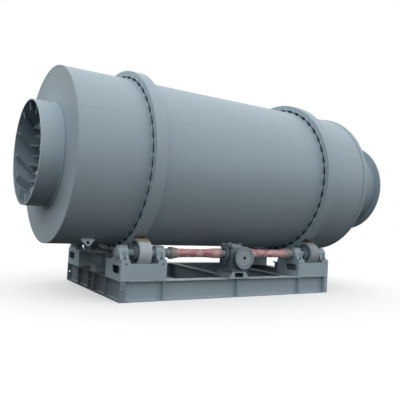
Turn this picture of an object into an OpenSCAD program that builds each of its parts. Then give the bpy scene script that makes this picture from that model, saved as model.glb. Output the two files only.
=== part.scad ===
// Rotary sand dryer: a drum on two riding rings, four support rollers, one friction drive.
// X runs along the drum towards the discharge end, the drive is on the -Y side, Z is up,
// and the origin is on the ground in the middle of the base frame.

/* [Base frame] */
// Length of the frame, along the drum
frame_l = 3400; // [3300:10:3800]
// Height of the H beams
beam_h = 250; // [220:5:300]
// Width of the H beam flanges
beam_b = 125; // [110:5:150]
// Thickness of the H beam flanges
flange_t = 10; // [7:1:14]
// Thickness of the H beam webs
web_t = 8; // [6:1:12]
// Thickness of the stiffeners between the flanges
rib_t = 10; // [6:1:14]
// Diameter of the hole in each stiffener
rib_hole_d = 22; // [14:1:30]
// Distance of the outer stiffeners from the middle of the long beams
rib_x = 1120; // [950:10:1150]
// Distance of the outer stiffeners from the middle of the end beams
rib_y = 472; // [380:2:560]
// Distance between the two middle stiffeners of the end beams
rib_pair = 204; // [160:2:260]
// Distance of the two outer cross beams from the middle
cross_x = 960; // [800:10:1000]
// Distance of the anchor bolt holes from the sides of the frame
anchor_in = 110; // [90:1:200]
// Diameter of the anchor bolt holes
anchor_d = 24; // [18:1:30]

/* [Drum] */
// Outer diameter of the drum shell
drum_d = 2200; // [2120:10:2260]
// Thickness of the drum shell
drum_wall = 12; // [8:1:20]
// From the front riding ring's centre to the inlet end of the shell
inlet_overhang = 958; // [860:2:1060]
// From the rear riding ring's centre to the discharge end of the shell
outlet_overhang = 878; // [780:2:980]
// Thickness of the two end plates
end_plate_t = 14; // [8:1:20]
// Distance of the guide vanes from the mouth of the tube
mouth_gap = 18; // [5:1:60]
// Outer diameter of the inner tube that shows at both ends
tube_d = 1292; // [1200:4:1360]
// Thickness of the inner tube
tube_wall = 12; // [9:1:16]
// Thickness of the discharge neck
neck_wall = 8; // [5:1:8]
// Length of tube that stands out of the inlet end
inlet_out = 270; // [180:5:400]
// Length of tube that stands out of the discharge end
neck_out = 806; // [500:2:900]
// Radial width of the discharge flange
flange_w = 97; // [60:1:120]
// Thickness of the discharge flange
outlet_flange_t = 20; // [12:1:30]
// Width of the band round the discharge rim of the shell
band_w = 60; // [30:2:90]
// Thickness of that band
band_t = 12; // [6:1:16]

/* [Flights] */
// Number of guide vanes round the inlet
vane_count = 12; // [8:1:16]
// Height of a guide vane off the tube wall, at its middle
vane_h = 140; // [60:1:160]
// Length of a guide vane along the tube
vane_l = 218; // [150:2:320]
// Angle between a guide vane and the drum's axis, in degrees
vane_angle = 48; // [20:1:55]
// Thickness of the vanes and lifters
vane_t = 8; // [5:1:12]
// Number of lifters round the tube, two to each vane
lifter_count = 24; // [16:2:32]
// Height of a lifter off the tube wall
lifter_h = 150; // [90:5:220]
// Length of a lifter along the tube
lifter_l = 1100; // [600:10:1400]
// Distance of the first lifters from the mouth of the tube
lifter_in = 150; // [120:5:400]
// How much further in every second lifter starts
lifter_step = 45; // [0:5:80]

/* [Riding rings] */
// Width of a riding ring
tyre_w = 150; // [120:2:180]
// Radial thickness of a riding ring
tyre_t = 72; // [50:1:78]
// Height of the pads between the shell and a riding ring
pad_h = 33; // [20:1:45]
// Number of pads between the shell and a riding ring
pad_count = 42; // [30:1:48]
// Slant of the pads, in degrees
pad_slant = 40; // [10:1:50]

/* [Support rollers] */
// Diameter of a support roller
roller_d = 346; // [320:2:370]
// Width of a support roller
roller_w = 165; // [140:1:180]
// Angle of the rollers either side of the drum's lowest line, in degrees
support_angle = 34.6; // [33:0.2:36]
// Diameter of the roller shafts
shaft_d = 90; // [70:2:100]
// Height of a bearing's axis above its seat
bearing_c = 100; // [90:1:115]
// Width of a bearing housing, along the shaft
bearing_w = 110; // [90:1:116]
// Length of a bearing foot, across the shaft
bearing_l = 290; // [260:2:300]
// Height of the bearing seats above the frame
stand_h = 217.5; // [190:0.5:260]
// Distance from a roller's axis to the outer side of its stand and of the frame
stand_out = 152; // [150:1:220]
// Length of a roller stand
stand_l = 605; // [580:1:640]
// Depth of a roller stand
stand_d = 455; // [400:1:480]
// Plate thickness of the roller stands
stand_t = 12; // [8:1:16]
// Length of the raised seat at each end of a stand
seat_l = 118; // [112:1:126]
// Thickness of the seat plates
seat_t = 16; // [10:1:20]
// Width of the slot in a stand's end plate
slot_w = 220; // [160:2:250]
// Height of the slot in a stand's end plate
slot_h = 96; // [70:1:110]

/* [Drive] */
// Offset of the gearbox from the middle of the frame
gear_x = 0; // [-60:1:60]
// Length of the gearbox housing, along the shaft
gear_l = 236; // [220:1:300]
// Width of the gearbox housing, across the shaft
gear_w = 264; // [250:1:280]
// Height of the gearbox foot plate above the frame
bracket_h = 86; // [70:1:95]
// Diameter of the motor flange
motor_flange_d = 300; // [290:1:320]
// Bolt circle of the motor flange
motor_pcd = 265; // [255:1:275]
// Diameter of the motor flange's centring recess
motor_spigot_d = 230; // [200:1:236]
// Bore of the input shaft
input_bore_d = 38; // [28:1:48]
// Drop of the input axis below the output axis
input_drop = 44; // [30:1:60]
// Diameter of the cardan shaft flanges
yoke_d = 150; // [140:1:160]
// Diameter of the smaller flanges at the gearbox
small_yoke_d = 122; // [116:1:126]
// Diameter of the cardan shaft tubes
cardan_d = 96; // [80:1:104]
// Outer diameter of the film wrapped round the cardan shafts
wrap_d = 112; // [104:1:120]

/* [Thrust rollers] */
// Diameter of a thrust roller
thrust_d = 270; // [240:1:290]
// Thickness of a thrust roller
thrust_t = 50; // [40:1:60]
// Height of a thrust roller's middle above the drum's lowest line
thrust_rise = 14; // [5:1:25]
// Height of the box under a thrust roller
thrust_box_h = 84; // [60:1:100]

/* [Lifting lug] */
// Length of the lug along the shell
lug_l = 170; // [120:2:220]
// Height of the lug off the shell
lug_h = 90; // [80:1:130]
// Thickness of the lug
lug_t = 20; // [12:1:30]
// Diameter of the hole in the lug
lug_hole_d = 46; // [30:1:50]
// Distance of the lug from the inlet end of the shell
lug_inset = 415; // [300:5:600]
// Angle of the lug from the drum's lowest line towards the drive side, in degrees
lug_angle = 23.6; // [0:0.2:40]

/* [Clearances] */
// Running gap between the riding rings and the rollers
run_gap = 0.3; // [0.2:0.05:1]
// Radial clearance of the shafts in their bearings
shaft_gap = 0.05; // [0.02:0.01:0.1]
// Gap between pieces of one body that lie on a curved face
seat_gap = 0.3; // [0.1:0.05:0.5]

/* [Hidden] */

paint = [0.58, 0.64, 0.66];
dark_paint = [0.46, 0.52, 0.55];
steel = [0.62, 0.63, 0.64];
pink = [0.85, 0.66, 0.66];
FINE = 128;
ROUND = 64;
SMALL = 24;

drum_r = drum_d / 2;
tube_r = tube_d / 2;
tyre_in_r = drum_r + pad_h;
tyre_r = tyre_in_r + tyre_t;
flange_d = tube_d + 2 * flange_w;
roller_r = roller_d / 2;
tyre_x = (frame_l - stand_l) / 2;
shell_x0 = -tyre_x - inlet_overhang;
shell_x1 = tyre_x + outlet_overhang;
course_l = (shell_x1 - shell_x0 + seat_gap) / 3;
collar_t = 12;
collar_w = 30;
vane_phase = 12.7;
lifter_phase = 1;
lifter_nose = 105;

// The rollers touch the riding rings at the support angle, and the frame is as wide as they need.
centre_gap = tyre_r + roller_r + run_gap;
roller_y = centre_gap * sin(support_angle);
seat_z = beam_h + stand_h;
roller_z = seat_z + bearing_c;
axis_z = roller_z + centre_gap * cos(support_angle);
frame_w = 2 * (roller_y + stand_out);
rail_drop = 15;
bearing_x = (stand_l - seat_l) / 2;
bearing_body_r = 78;
bearing_foot_h = 30;
bearing_bore_r = shaft_d / 2 + shaft_gap;
cap_t = 18;
cap_wall = 8;
shaft_end_gap = 2;
bolt_d = 22;
bolt_edge = 34;
bearing_bolt_y = bearing_l / 2 - bolt_edge;

// Stations along the drive line, measured from the frame's middle.
stub_l = 22;
hub_l = 62;
hub_wall = 10;
hub_start = tyre_x - bearing_x - bearing_w / 2 - cap_t - stub_l;
yoke_flange_t = 14;
fork_l = 62;
fork_step = 20;
fork_w = 60;
fork_t = 26;
cross_d = 28;
fork_sunk = 8;
joint_l = 4 * yoke_flange_t + fork_l + fork_step - 2 * fork_sunk;
wrap_gap = 2;
wrap_start = hub_l + wrap_gap;
fork_r = sqrt(pow(cardan_d / 2, 2) + pow(fork_w / 2, 2));
gear_cover_t = 24;
gear_cover_d = 186;
stub_d = 60;
gear_x0 = gear_x - gear_l / 2;
gear_x1 = gear_x + gear_l / 2;
gear_stub = 84;
foot_z = beam_h + bracket_h;
foot_t = 26;
foot_out = 10;
input_off = 62;
input_x = gear_x + input_off;
house_r = 132;
foot_ledge = 38;
input_z = roller_z - input_drop;
input_depth = 60;
neck_l = 44;
motor_flange_t = 20;
motor_bolt_d = 14.5;
spigot_depth = 5;
bracket_t = 12;

// Thrust rollers bear on the outer faces of the riding rings.
thrust_x = tyre_x + tyre_w / 2 + run_gap + thrust_d / 2;
thrust_z = axis_z - tyre_r + thrust_rise;
thrust_plate_t = 14;
thrust_plate_z = beam_h + thrust_box_h;
thrust_spindle_d = 50;
thrust_house_d = 118;
spindle_sunk = 4;

// --- helpers -----------------------------------------------------------------

// A profile drawn in Y and Z, drawn out along X from x0.
module along_x(x0, len) {
  translate([x0, 0, 0]) rotate([90, 0, 90]) linear_extrude(len) children();
}

// A profile drawn in X and Z, drawn out along Y from y0.
module along_y(y0, len) {
  translate([0, y0 + len, 0]) rotate([90, 0, 0]) linear_extrude(len) children();
}

// A round bar along X.
module bar_x(x0, len, d, fn = ROUND) {
  translate([x0, 0, 0]) rotate([0, 90, 0]) cylinder(h = len, d = d, $fn = fn);
}

// A ring about the X axis.
module ring_x(x0, len, d_out, d_in, fn = FINE) {
  difference() {
    bar_x(x0, len, d_out, fn);
    bar_x(x0 - 1, len + 2, d_in, fn);
  }
}

// Places a piece on the drum's axis.
module on_axis() {
  translate([0, 0, axis_z]) children();
}

// Mirrors a piece to the far side (s = 1) or leaves it on the near side (s = -1).
module to_side(s) {
  mirror([0, s > 0 ? 1 : 0, 0]) children();
}

// Mirrors a piece to the rear (e = 1) or leaves it at the front (e = -1).
module to_end(e) {
  mirror([e > 0 ? 1 : 0, 0, 0]) children();
}

// The outline of an H beam, centred in width, standing on zero.
module h_outline(b = beam_b) {
  translate([-b / 2, 0]) square([b, flange_t]);
  translate([-b / 2, beam_h - flange_t]) square([b, flange_t]);
  translate([-web_t / 2, 0]) square([web_t, beam_h]);
}

// A stiffener between the flanges with its drilled hole, across Y, at the origin's X.
module rib(depth) {
  difference() {
    translate([-rib_t / 2, 0, flange_t]) cube([rib_t, depth, beam_h - 2 * flange_t]);
    translate([0, depth / 2, beam_h / 2]) bar_x(-rib_t, 2 * rib_t, rib_hole_d, SMALL);
  }
}

// --- base frame --------------------------------------------------------------

// A long beam, its web let in between the flanges of the end beams.
module side_beam(s) {
  inner_l = frame_l - 2 * beam_b;
  web_l = frame_l - beam_b - web_t;
  rib_depth = (beam_b - web_t) / 2;
  to_side(s) color(paint) translate([0, -frame_w / 2 + beam_b / 2, 0]) {
    along_x(-inner_l / 2, inner_l) h_outline();
    translate([-web_l / 2, -web_t / 2, flange_t]) cube([web_l, web_t, beam_h - 2 * flange_t]);
    for (x = [-rib_x, 0, rib_x]) translate([x, -beam_b / 2, 0]) rib(rib_depth);
    for (x = [-rib_x, rib_x]) translate([x, web_t / 2, 0]) rib(rib_depth);
  }
}

// An end beam over the full width, with closing plates at its ends and anchor holes.
module end_beam(e) {
  rib_depth = (beam_b - web_t) / 2;
  close_l = rib_depth + web_t;
  to_end(e) color(paint) difference() {
    translate([-frame_l / 2 + beam_b / 2, 0, 0]) {
      along_y(-frame_w / 2, frame_w) h_outline();
      for (y = [-rib_y, -rib_pair / 2, rib_pair / 2, rib_y])
        translate([-beam_b / 2, y, 0]) mirror([1, -1, 0]) rib(rib_depth);
      for (s = [-1, 1]) to_side(s)
        difference() {
          translate([-beam_b / 2, -frame_w / 2, flange_t])
            cube([close_l, rib_t, beam_h - 2 * flange_t]);
          translate([-beam_b / 4, -frame_w / 2 - 1, beam_h / 2]) rotate([-90, 0, 0])
            cylinder(h = rib_t + 2, d = rib_hole_d, $fn = SMALL);
        }
    }
    for (y = [-1, 1])
      translate([-anchor_x(), y * anchor_y(), -1])
        cylinder(h = flange_t + 2, d = anchor_d, $fn = SMALL);
  }
}

// Anchor holes lie in the outer half of the end beams' lower flanges.
function anchor_x() = frame_l / 2 - beam_b / 4 + web_t / 4;
function anchor_y() = frame_w / 2 - anchor_in;

// Cross beams between the long beams, their tops level with the frame.
module cross_beams() {
  span = frame_w - 2 * beam_b;
  web_span = frame_w - beam_b - web_t;
  color(paint) for (x = [-cross_x, 0, cross_x])
    translate([x, 0, 0]) {
      along_y(-span / 2, span) h_outline();
      translate([-web_t / 2, -web_span / 2, flange_t])
        cube([web_t, web_span, beam_h - 2 * flange_t]);
    }
}

// --- roller stands and bearings ----------------------------------------------

// A side plate's outline: raised at both ends where the bearing seats are.
module stand_side_outline() {
  l = stand_l / 2;
  ramp_top = l - seat_l + 6;
  ramp_foot = ramp_top - 14;
  polygon([[-l, 0], [l, 0], [l, stand_h], [ramp_top, stand_h], [ramp_foot, stand_h - rail_drop],
    [-ramp_foot, stand_h - rail_drop], [-ramp_top, stand_h], [-l, stand_h]]);
}

// The rounded slot in an end plate, in Y and Z about the origin.
module slot_outline() {
  r = 40;
  for (y = [-1, 1], z = [-1, 1])
    translate([y * (slot_w / 2 - r), z * (slot_h / 2 - r)]) circle(r, $fn = SMALL);
  square([slot_w - 2 * r, slot_h], center = true);
  square([slot_w, slot_h - 2 * r], center = true);
}

// A fabricated roller stand: side plates, slotted end plates, inner plates and two seats.
module stand(e, s) {
  slot_in = 44;
  slot_up = 14;
  ear_drop = 20;
  ear_in = 6;
  inner_w = stand_d - 2 * stand_t;
  to_end(e) to_side(s) color(paint)
    translate([-tyre_x, -roller_y - stand_out, beam_h]) difference() {
      union() {
        for (y = [0, stand_d - stand_t])
          along_y(y, stand_t) stand_side_outline();
        for (x = [-stand_l / 2, -stand_l / 2 + seat_l - stand_t,
                  stand_l / 2 - stand_t, stand_l / 2 - seat_l])
          translate([x, stand_t, 0]) cube([stand_t, inner_w, stand_h - seat_t]);
        for (x = [-stand_l / 2, stand_l / 2 - seat_l])
          translate([x, stand_t, stand_h - seat_t]) cube([seat_l, inner_w, seat_t]);
      }
      for (x = [-stand_l / 2 - 1, stand_l / 2 - stand_t - 1])
        along_x(x, stand_t + 2)
          translate([slot_w / 2 + slot_in, stand_h / 2 + slot_up]) slot_outline();
      for (x = [-bearing_x, bearing_x], y = [-1, 1])
        translate([x, stand_out + y * bearing_bolt_y, stand_h - seat_t - 1])
          cylinder(h = seat_t + 2, d = bolt_d, $fn = SMALL);
      for (x = [-bearing_x, bearing_x])
        translate([x + ear_in, -1, stand_h - ear_drop]) rotate([-90, 0, 0])
          cylinder(h = stand_t + 2, d = bolt_d, $fn = SMALL);
    }
}

// The outline of a pillow block in Y and Z, with its axis at the origin.
module bearing_outline() {
  r = bearing_body_r;
  flare = 26;
  crown_h = 10;
  crown_w = 1.24 * r;
  translate([-bearing_l / 2, -bearing_c]) square([bearing_l, bearing_foot_h]);
  circle(r, $fn = ROUND);
  polygon([[-r - flare, -bearing_c + bearing_foot_h], [r + flare, -bearing_c + bearing_foot_h],
    [r, 0], [-r, 0]]);
  translate([-crown_w / 2, 0]) square([crown_w, r + crown_h]);
}

// A cast pillow block along X about the shaft, with side pockets. Its cap is on the cap_side,
// and a closed one covers the end of the shaft.
module bearing(x, cap_side, closed) {
  pocket_h = 74;
  pocket_w = bearing_w / 2;
  pocket_depth = 44;
  pocket_out = 12;
  pocket_drop = 18;
  rim_in = 10;
  nose_in = 36;
  bore_x0 = closed ? -bearing_w / 2 - cap_t + cap_wall : -bearing_w;
  translate([x, 0, 0]) difference() {
    union() {
      along_x(-bearing_w / 2, bearing_w) bearing_outline();
      bar_x(cap_side > 0 ? bearing_w / 2 : -bearing_w / 2 - cap_t, cap_t,
        2 * bearing_body_r - rim_in);
      bar_x(-bearing_w / 2 - cap_t / 2, bearing_w + cap_t, 2 * bearing_body_r - nose_in);
    }
    for (y = [-1, 1]) {
      translate([0, y * (bearing_body_r + pocket_out), -pocket_drop]) rotate([90, 0, 0])
        linear_extrude(pocket_depth, center = true) {
          square([pocket_w, pocket_h - pocket_w], center = true);
          for (z = [-1, 1])
            translate([0, z * (pocket_h - pocket_w) / 2]) circle(d = pocket_w, $fn = SMALL);
        }
      translate([0, y * bearing_bolt_y, -bearing_c - 1])
        cylinder(h = bearing_foot_h + 2, d = bolt_d, $fn = SMALL);
    }
    bar_x(bore_x0, 2 * bearing_w, 2 * bearing_bore_r, ROUND);
  }
}

// The two bearings of one roller. The outboard one, nearest the frame's end, is closed.
module bearings(e, s) {
  to_end(e) to_side(s) color(paint)
    translate([-tyre_x, -roller_y, roller_z]) {
      bearing(-bearing_x, -1, true);
      bearing(bearing_x, 1, false);
    }
}

// --- rollers -----------------------------------------------------------------

// A roller's section, drawn as radius over distance along the shaft.
module roller_section() {
  rim_t = 34;
  rim_draft = 6;
  ease = 4;
  hub_r = shaft_d / 2 + 32;
  web = 18;
  w = roller_w / 2;
  r = roller_r;
  polygon([[0, -w], [hub_r, -w], [hub_r, -web], [r - rim_t, -web], [r - rim_t + rim_draft, -w],
    [r - ease, -w], [r, -w + ease], [r, w - ease], [r - ease, w], [r - rim_t + rim_draft, w],
    [r - rim_t, web], [hub_r, web], [hub_r, w], [0, w]]);
}

// A support roller on its shaft; stub is how far the shaft runs past the inboard cap.
module roller(e, s, stub) {
  x0 = -bearing_x - bearing_w / 2 - cap_t + cap_wall + shaft_end_gap;
  x1 = bearing_x + bearing_w / 2 + cap_t + stub;
  to_end(e) to_side(s) color(steel)
    translate([-tyre_x, -roller_y, roller_z]) {
      rotate([0, 90, 0]) rotate_extrude($fn = FINE) roller_section();
      bar_x(x0, x1 - x0, shaft_d);
    }
}

// --- drive line --------------------------------------------------------------

// A cardan shaft's joint: a bolted flange pair, two crossed forks and the cross between them.
module yoke_joint(flange_d) {
  fork_x = 2 * yoke_flange_t;
  fork_off = cardan_d / 2 - fork_t / 2;
  bar_x(0, fork_x, flange_d);
  for (y = [-1, 1])
    translate([fork_x, y * fork_off - fork_t / 2, -fork_w / 2]) cube([fork_l, fork_t, fork_w]);
  for (z = [-1, 1])
    translate([fork_x + fork_step, -fork_w / 2, z * fork_off - fork_t / 2])
      cube([fork_l, fork_w, fork_t]);
  translate([fork_x + (fork_l + fork_step) / 2, 0, 0]) {
    rotate([90, 0, 0]) cylinder(h = cardan_d, d = cross_d, center = true, $fn = SMALL);
    cylinder(h = cardan_d, d = cross_d, center = true, $fn = SMALL);
  }
  bar_x(joint_l - fork_x, fork_x, cardan_d);
}

// One cardan shaft from the roller shaft's end at x0 to the gearbox's shaft end at x1.
module cardan(x0, x1) {
  color(dark_paint) translate([0, -roller_y, roller_z]) {
    ring_x(x0, hub_l, shaft_d + 2 * hub_wall, shaft_d + 2 * seat_gap, ROUND);
    translate([x0 + hub_l, 0, 0]) yoke_joint(yoke_d);
    translate([x1, 0, 0]) mirror([1, 0, 0]) yoke_joint(small_yoke_d);
    bar_x(x0 + hub_l + joint_l - 1, x1 - x0 - hub_l - 2 * joint_l + 2, cardan_d);
  }
}

// Film wrapped round a whole cardan shaft: wide over the roller's coupling, drawn in round the
// tube, and wider again over the joint at the gearbox.
module cardan_wrap(x0, x1) {
  r = wrap_d / 2;
  l = x1 - x0;
  film = 3;
  flange_in = yoke_d / 2 + seat_gap;
  fork_in = fork_r + seat_gap;
  tube_in = cardan_d / 2 + seat_gap;
  joint_in = small_yoke_d / 2 + seat_gap;
  flange_x = 2 * yoke_flange_t;
  joint_x = l - joint_l - 6;
  flare_l = 70;
  waist = 2;
  color(pink) translate([x0, -roller_y, roller_z]) rotate([0, 90, 0])
    rotate_extrude($fn = ROUND)
      polygon([[flange_in, 0], [flange_in + film, 0], [flange_in + film, flange_x],
        [fork_in + film, flange_x + flare_l], [r, joint_l + flare_l], [r - waist, l / 2],
        [r, joint_x - flare_l], [joint_in + film, joint_x], [joint_in + film, l], [joint_in, l],
        [joint_in, joint_x], [tube_in, joint_x], [tube_in, joint_l + film],
        [fork_in, joint_l + film], [fork_in, flange_x], [flange_in, flange_x]]);
}

// The output shaft stubs either side of the gearbox, one solid through the housing.
module gearbox_output_shaft() {
  color(steel) translate([0, -roller_y, roller_z])
    bar_x(gear_x0 - gear_stub, gear_l + 2 * gear_stub, stub_d);
}

// --- gearbox -----------------------------------------------------------------

// The housing seen along Y: a level top that falls away in two steps towards the input side.
module gearbox_side_outline() {
  l = gear_l / 2;
  top = roller_z + house_r;
  slope_l = 98;
  slope_mid = 52;
  slope_drop = 14;
  end_drop = 44;
  chamfer = 10;
  polygon([[-l, foot_z], [l, foot_z], [l, top - end_drop], [l - slope_mid, top - slope_drop],
    [l - slope_l, top], [-l + chamfer, top], [-l, top - chamfer]]);
}

// The housing seen along X: round over the output shaft, square at the foot.
module gearbox_end_outline() {
  w = gear_w / 2;
  corner_r = 34;
  corner_h = 84;
  hull() {
    translate([0, roller_z]) circle(house_r, $fn = ROUND);
    translate([-w, foot_z]) square([gear_w, foot_t]);
    for (y = [-1, 1])
      translate([y * (w - corner_r), foot_z + corner_h]) circle(corner_r, $fn = SMALL);
  }
}

// The cast housing with its bearing covers, lower bosses, input neck, ribs and foot.
module gearbox_housing() {
  w = gear_w / 2;
  lower_boss_d = 110;
  lower_boss_drop = 123;
  lower_boss_out = 14;
  lug_r = 16;
  lug_out = 10;
  lug_z = roller_z + house_r - 40;
  rib_pitch = 62;
  rib_h = 58;
  rib_out = 16;
  cast_rib_t = 10;
  neck_in = 40;
  foot_bolt_d = 18;
  foot_bolt_in = 18;
  foot_bolt_x = gear_l / 2 - 24;
  color(dark_paint) translate([0, -roller_y, 0]) difference() {
    union() {
      intersection() {
        along_x(gear_x0 - 1, gear_l + 2) gearbox_end_outline();
        along_y(-gear_w, 2 * gear_w) translate([gear_x, 0]) gearbox_side_outline();
      }
      translate([gear_x0 - foot_out, -w - foot_ledge, foot_z])
        cube([gear_l + 2 * foot_out, gear_w + 2 * foot_ledge, foot_t]);
      translate([0, 0, roller_z])
        bar_x(gear_x0 - gear_cover_t, gear_l + 2 * gear_cover_t, gear_cover_d);
      translate([0, 0, roller_z - lower_boss_drop])
        bar_x(gear_x0 - lower_boss_out, gear_l + 2 * lower_boss_out, lower_boss_d);
      for (y = [-1, 1])
        translate([0, y * (house_r / 2), lug_z]) bar_x(gear_x0 - lug_out, 2 * lug_out, 2 * lug_r, SMALL);
      translate([input_x, -w - neck_l, input_z]) rotate([-90, 0, 0])
        cylinder(h = neck_l + neck_in, d = motor_spigot_d - 10, $fn = ROUND);
      for (x = [-rib_pitch, 0, rib_pitch])
        translate([gear_x + x - cast_rib_t / 2, -w - rib_out, foot_z + foot_t])
          cube([cast_rib_t, gear_w + 2 * rib_out, rib_h]);
    }
    translate([0, 0, roller_z])
      bar_x(gear_x0 - gear_stub - 1, gear_l + 2 * gear_stub + 2, stub_d + 2 * shaft_gap);
    translate([input_x, -w - neck_l - 1, input_z]) rotate([-90, 0, 0])
      cylinder(h = input_depth + 1, d = input_bore_d, $fn = ROUND);
    for (x = [-1, 1], y = [-1, 1])
      translate([gear_x + x * foot_bolt_x, y * (w + foot_ledge - foot_bolt_in), foot_z - 1])
        cylinder(h = foot_t + 2, d = foot_bolt_d, $fn = SMALL);
  }
}

// The round adapter that the motor bolts to: centring recess, bolt circle and bore.
module motor_flange() {
  color(paint) translate([input_x, -roller_y - gear_w / 2 - neck_l, input_z])
    rotate([90, 0, 0]) difference() {
      cylinder(h = motor_flange_t, d = motor_flange_d, $fn = FINE);
      translate([0, 0, motor_flange_t - spigot_depth])
        cylinder(h = spigot_depth + 1, d = motor_spigot_d, $fn = FINE);
      translate([0, 0, -1]) cylinder(h = motor_flange_t + 2, d = input_bore_d, $fn = ROUND);
      for (a = [45:90:315])
        rotate(a) translate([motor_pcd / 2, 0, -1])
          cylinder(h = motor_flange_t + 2, d = motor_bolt_d, $fn = SMALL);
    }
}

// The welded bracket under the gearbox: base and top plates, leaning side plates, and a
// trapezoid gusset at each corner that leaves a window between them.
module gearbox_bracket() {
  depth = gear_w + 2 * foot_ledge;
  y0 = -roller_y - depth / 2;
  base_l = gear_l / 2 + 46;
  toe = gear_l / 2 + 40;
  shoulder = gear_l / 2 - 3;
  window = 70;
  lean_t = 14;
  top_t = 10;
  z0 = beam_h + bracket_t;
  z1 = foot_z - top_t;
  color(paint) translate([gear_x, 0, 0]) {
    translate([-base_l, y0, beam_h]) cube([2 * base_l, depth, bracket_t]);
    translate([-shoulder, y0, z1]) cube([2 * shoulder, depth, top_t]);
    for (e = [-1, 1]) to_end(e) {
      for (y = [y0, y0 + depth - bracket_t])
        along_y(y, bracket_t)
          polygon([[-toe, z0], [-window, z0], [-window, z1], [-shoulder, z1]]);
      along_y(y0 + bracket_t, depth - 2 * bracket_t)
        polygon([[-toe, z0], [-toe + lean_t, z0], [-shoulder + lean_t, z1], [-shoulder, z1]]);
    }
  }
}

// --- thrust rollers ----------------------------------------------------------

// Box, overhung plate and gusseted spindle housing that carry a thrust roller.
module thrust_stand(e) {
  box_l = 132;
  box_w = 190;
  plate_l = 186;
  plate_w = 230;
  collar_out = 15;
  collar_h = 14;
  top_gap = 10;
  house_top = thrust_z - thrust_t / 2 - top_gap;
  spindle_house_r = thrust_house_d / 2;
  z1 = thrust_plate_z + thrust_plate_t;
  gusset = 10;
  gusset_in = 6;
  gusset_top = spindle_house_r + 8;
  bolt_x = plate_l / 2 - 14;
  bolt_y = plate_w / 2 - 18;
  to_end(e) color(paint) translate([-thrust_x, 0, 0]) difference() {
    union() {
      translate([-box_l / 2, -box_w / 2, beam_h]) cube([box_l, box_w, thrust_box_h]);
      translate([-plate_l / 2, -plate_w / 2, thrust_plate_z])
        cube([plate_l, plate_w, thrust_plate_t]);
      translate([0, 0, z1]) cylinder(h = house_top - z1, r = spindle_house_r, $fn = ROUND);
      translate([0, 0, house_top - collar_h])
        cylinder(h = collar_h, r = spindle_house_r + collar_out, $fn = ROUND);
      for (a = [0:90:270])
        rotate(a) rotate([90, 0, 0]) linear_extrude(gusset, center = true)
          polygon([[0, z1], [(a % 180 == 0 ? plate_l : plate_w) / 2 - gusset_in, z1],
            [gusset_top, house_top - collar_h], [0, house_top - collar_h]]);
    }
    translate([0, 0, z1 - spindle_sunk])
      cylinder(h = house_top, d = thrust_spindle_d + 2 * shaft_gap, $fn = ROUND);
    for (x = [-1, 1], y = [-1, 1])
      translate([x * bolt_x, y * bolt_y, thrust_plate_z - 1])
        cylinder(h = thrust_plate_t + 2, d = 14, $fn = SMALL);
  }
}

// A thrust roller on its spindle, with a raised hub and a recessed web.
module thrust_roller(e) {
  r = thrust_d / 2;
  h = thrust_t / 2;
  hub_r = thrust_spindle_d / 2 + 22;
  hub_out = 6;
  recess = 8;
  rim_w = 26;
  rim_draft = 4;
  ease = 3;
  z0 = thrust_plate_z + thrust_plate_t - thrust_z - spindle_sunk + 1;
  to_end(e) color(steel) translate([-thrust_x, 0, thrust_z])
    rotate_extrude($fn = FINE)
      polygon([[0, z0], [thrust_spindle_d / 2, z0], [thrust_spindle_d / 2, -h - hub_out],
        [hub_r, -h - hub_out], [hub_r, -h + recess], [r - rim_w - rim_draft, -h + recess],
        [r - rim_w, -h], [r - ease, -h], [r, -h + ease], [r, h - ease], [r - ease, h],
        [r - rim_w, h], [r - rim_w - rim_draft, h - recess], [hub_r, h - recess],
        [hub_r, h + hub_out], [0, h + hub_out]]);
}

// --- drum --------------------------------------------------------------------

// One rolled course of the shell, counted from the inlet end.
module shell_course(i) {
  color(paint) on_axis()
    ring_x(shell_x0 + i * course_l, course_l - seat_gap, drum_d, drum_d - 2 * drum_wall);
}

// A flat ring between the inner tube and the shell, level with the shell's rim.
module end_plate(x0, collar_x) {
  color(paint) on_axis() {
    ring_x(x0, end_plate_t, drum_d - 2 * drum_wall, tube_d);
    ring_x(collar_x, collar_t, tube_d + 2 * collar_w, tube_d);
  }
}

// The tube that the feed enters, from its mouth through the drum to the discharge end.
module inner_tube() {
  x0 = shell_x0 - inlet_out;
  color(paint) on_axis()
    ring_x(x0, shell_x1 - x0, tube_d, tube_d - 2 * tube_wall);
}

// The neck that the dried sand leaves by.
module discharge_neck() {
  color(paint) on_axis()
    ring_x(shell_x1, neck_out, tube_d, tube_d - 2 * neck_wall);
}

// Slanted guide vanes: flat plates at an angle to the axis, their outer edges cut to the round
// of the tube and their inner edges straight.
module guide_vanes() {
  r1 = tube_r - tube_wall - seat_gap;
  x0 = shell_x0 - inlet_out + mouth_gap;
  plate_l = vane_l / cos(vane_angle) + 4 * vane_t;
  color(dark_paint) on_axis()
    for (i = [0:vane_count - 1])
      intersection() {
        bar_x(x0, vane_l, 2 * r1, FINE);
        rotate([i * 360 / vane_count - vane_phase, 0, 0]) translate([x0 + vane_l / 2, 0, 0])
          rotate([0, 0, vane_angle])
            translate([-plate_l / 2, -vane_t / 2, r1 - vane_h]) cube([plate_l, vane_t, r1]);
      }
}

// Straight lifting blades, two to each vane. The first starts where a vane has passed, the
// second behind a vane's end. Their leading ends are cut back towards the wall.
module lifters() {
  r1 = tube_r - tube_wall - seat_gap;
  color(dark_paint) on_axis()
    for (i = [0:lifter_count - 1]) {
      x0 = shell_x0 - inlet_out + lifter_in + (i % 2 == 0 ? lifter_step : 0);
      rotate([i * 360 / lifter_count + lifter_phase, 0, 0]) along_y(-vane_t / 2, vane_t)
        polygon([[x0 + lifter_nose, r1], [x0, r1 - lifter_h], [x0 + lifter_l, r1 - lifter_h],
          [x0 + lifter_l, r1]]);
    }
}

module discharge_flange() {
  color(paint) on_axis()
    ring_x(shell_x1 + neck_out - outlet_flange_t, outlet_flange_t, flange_d, tube_d);
}

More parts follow.
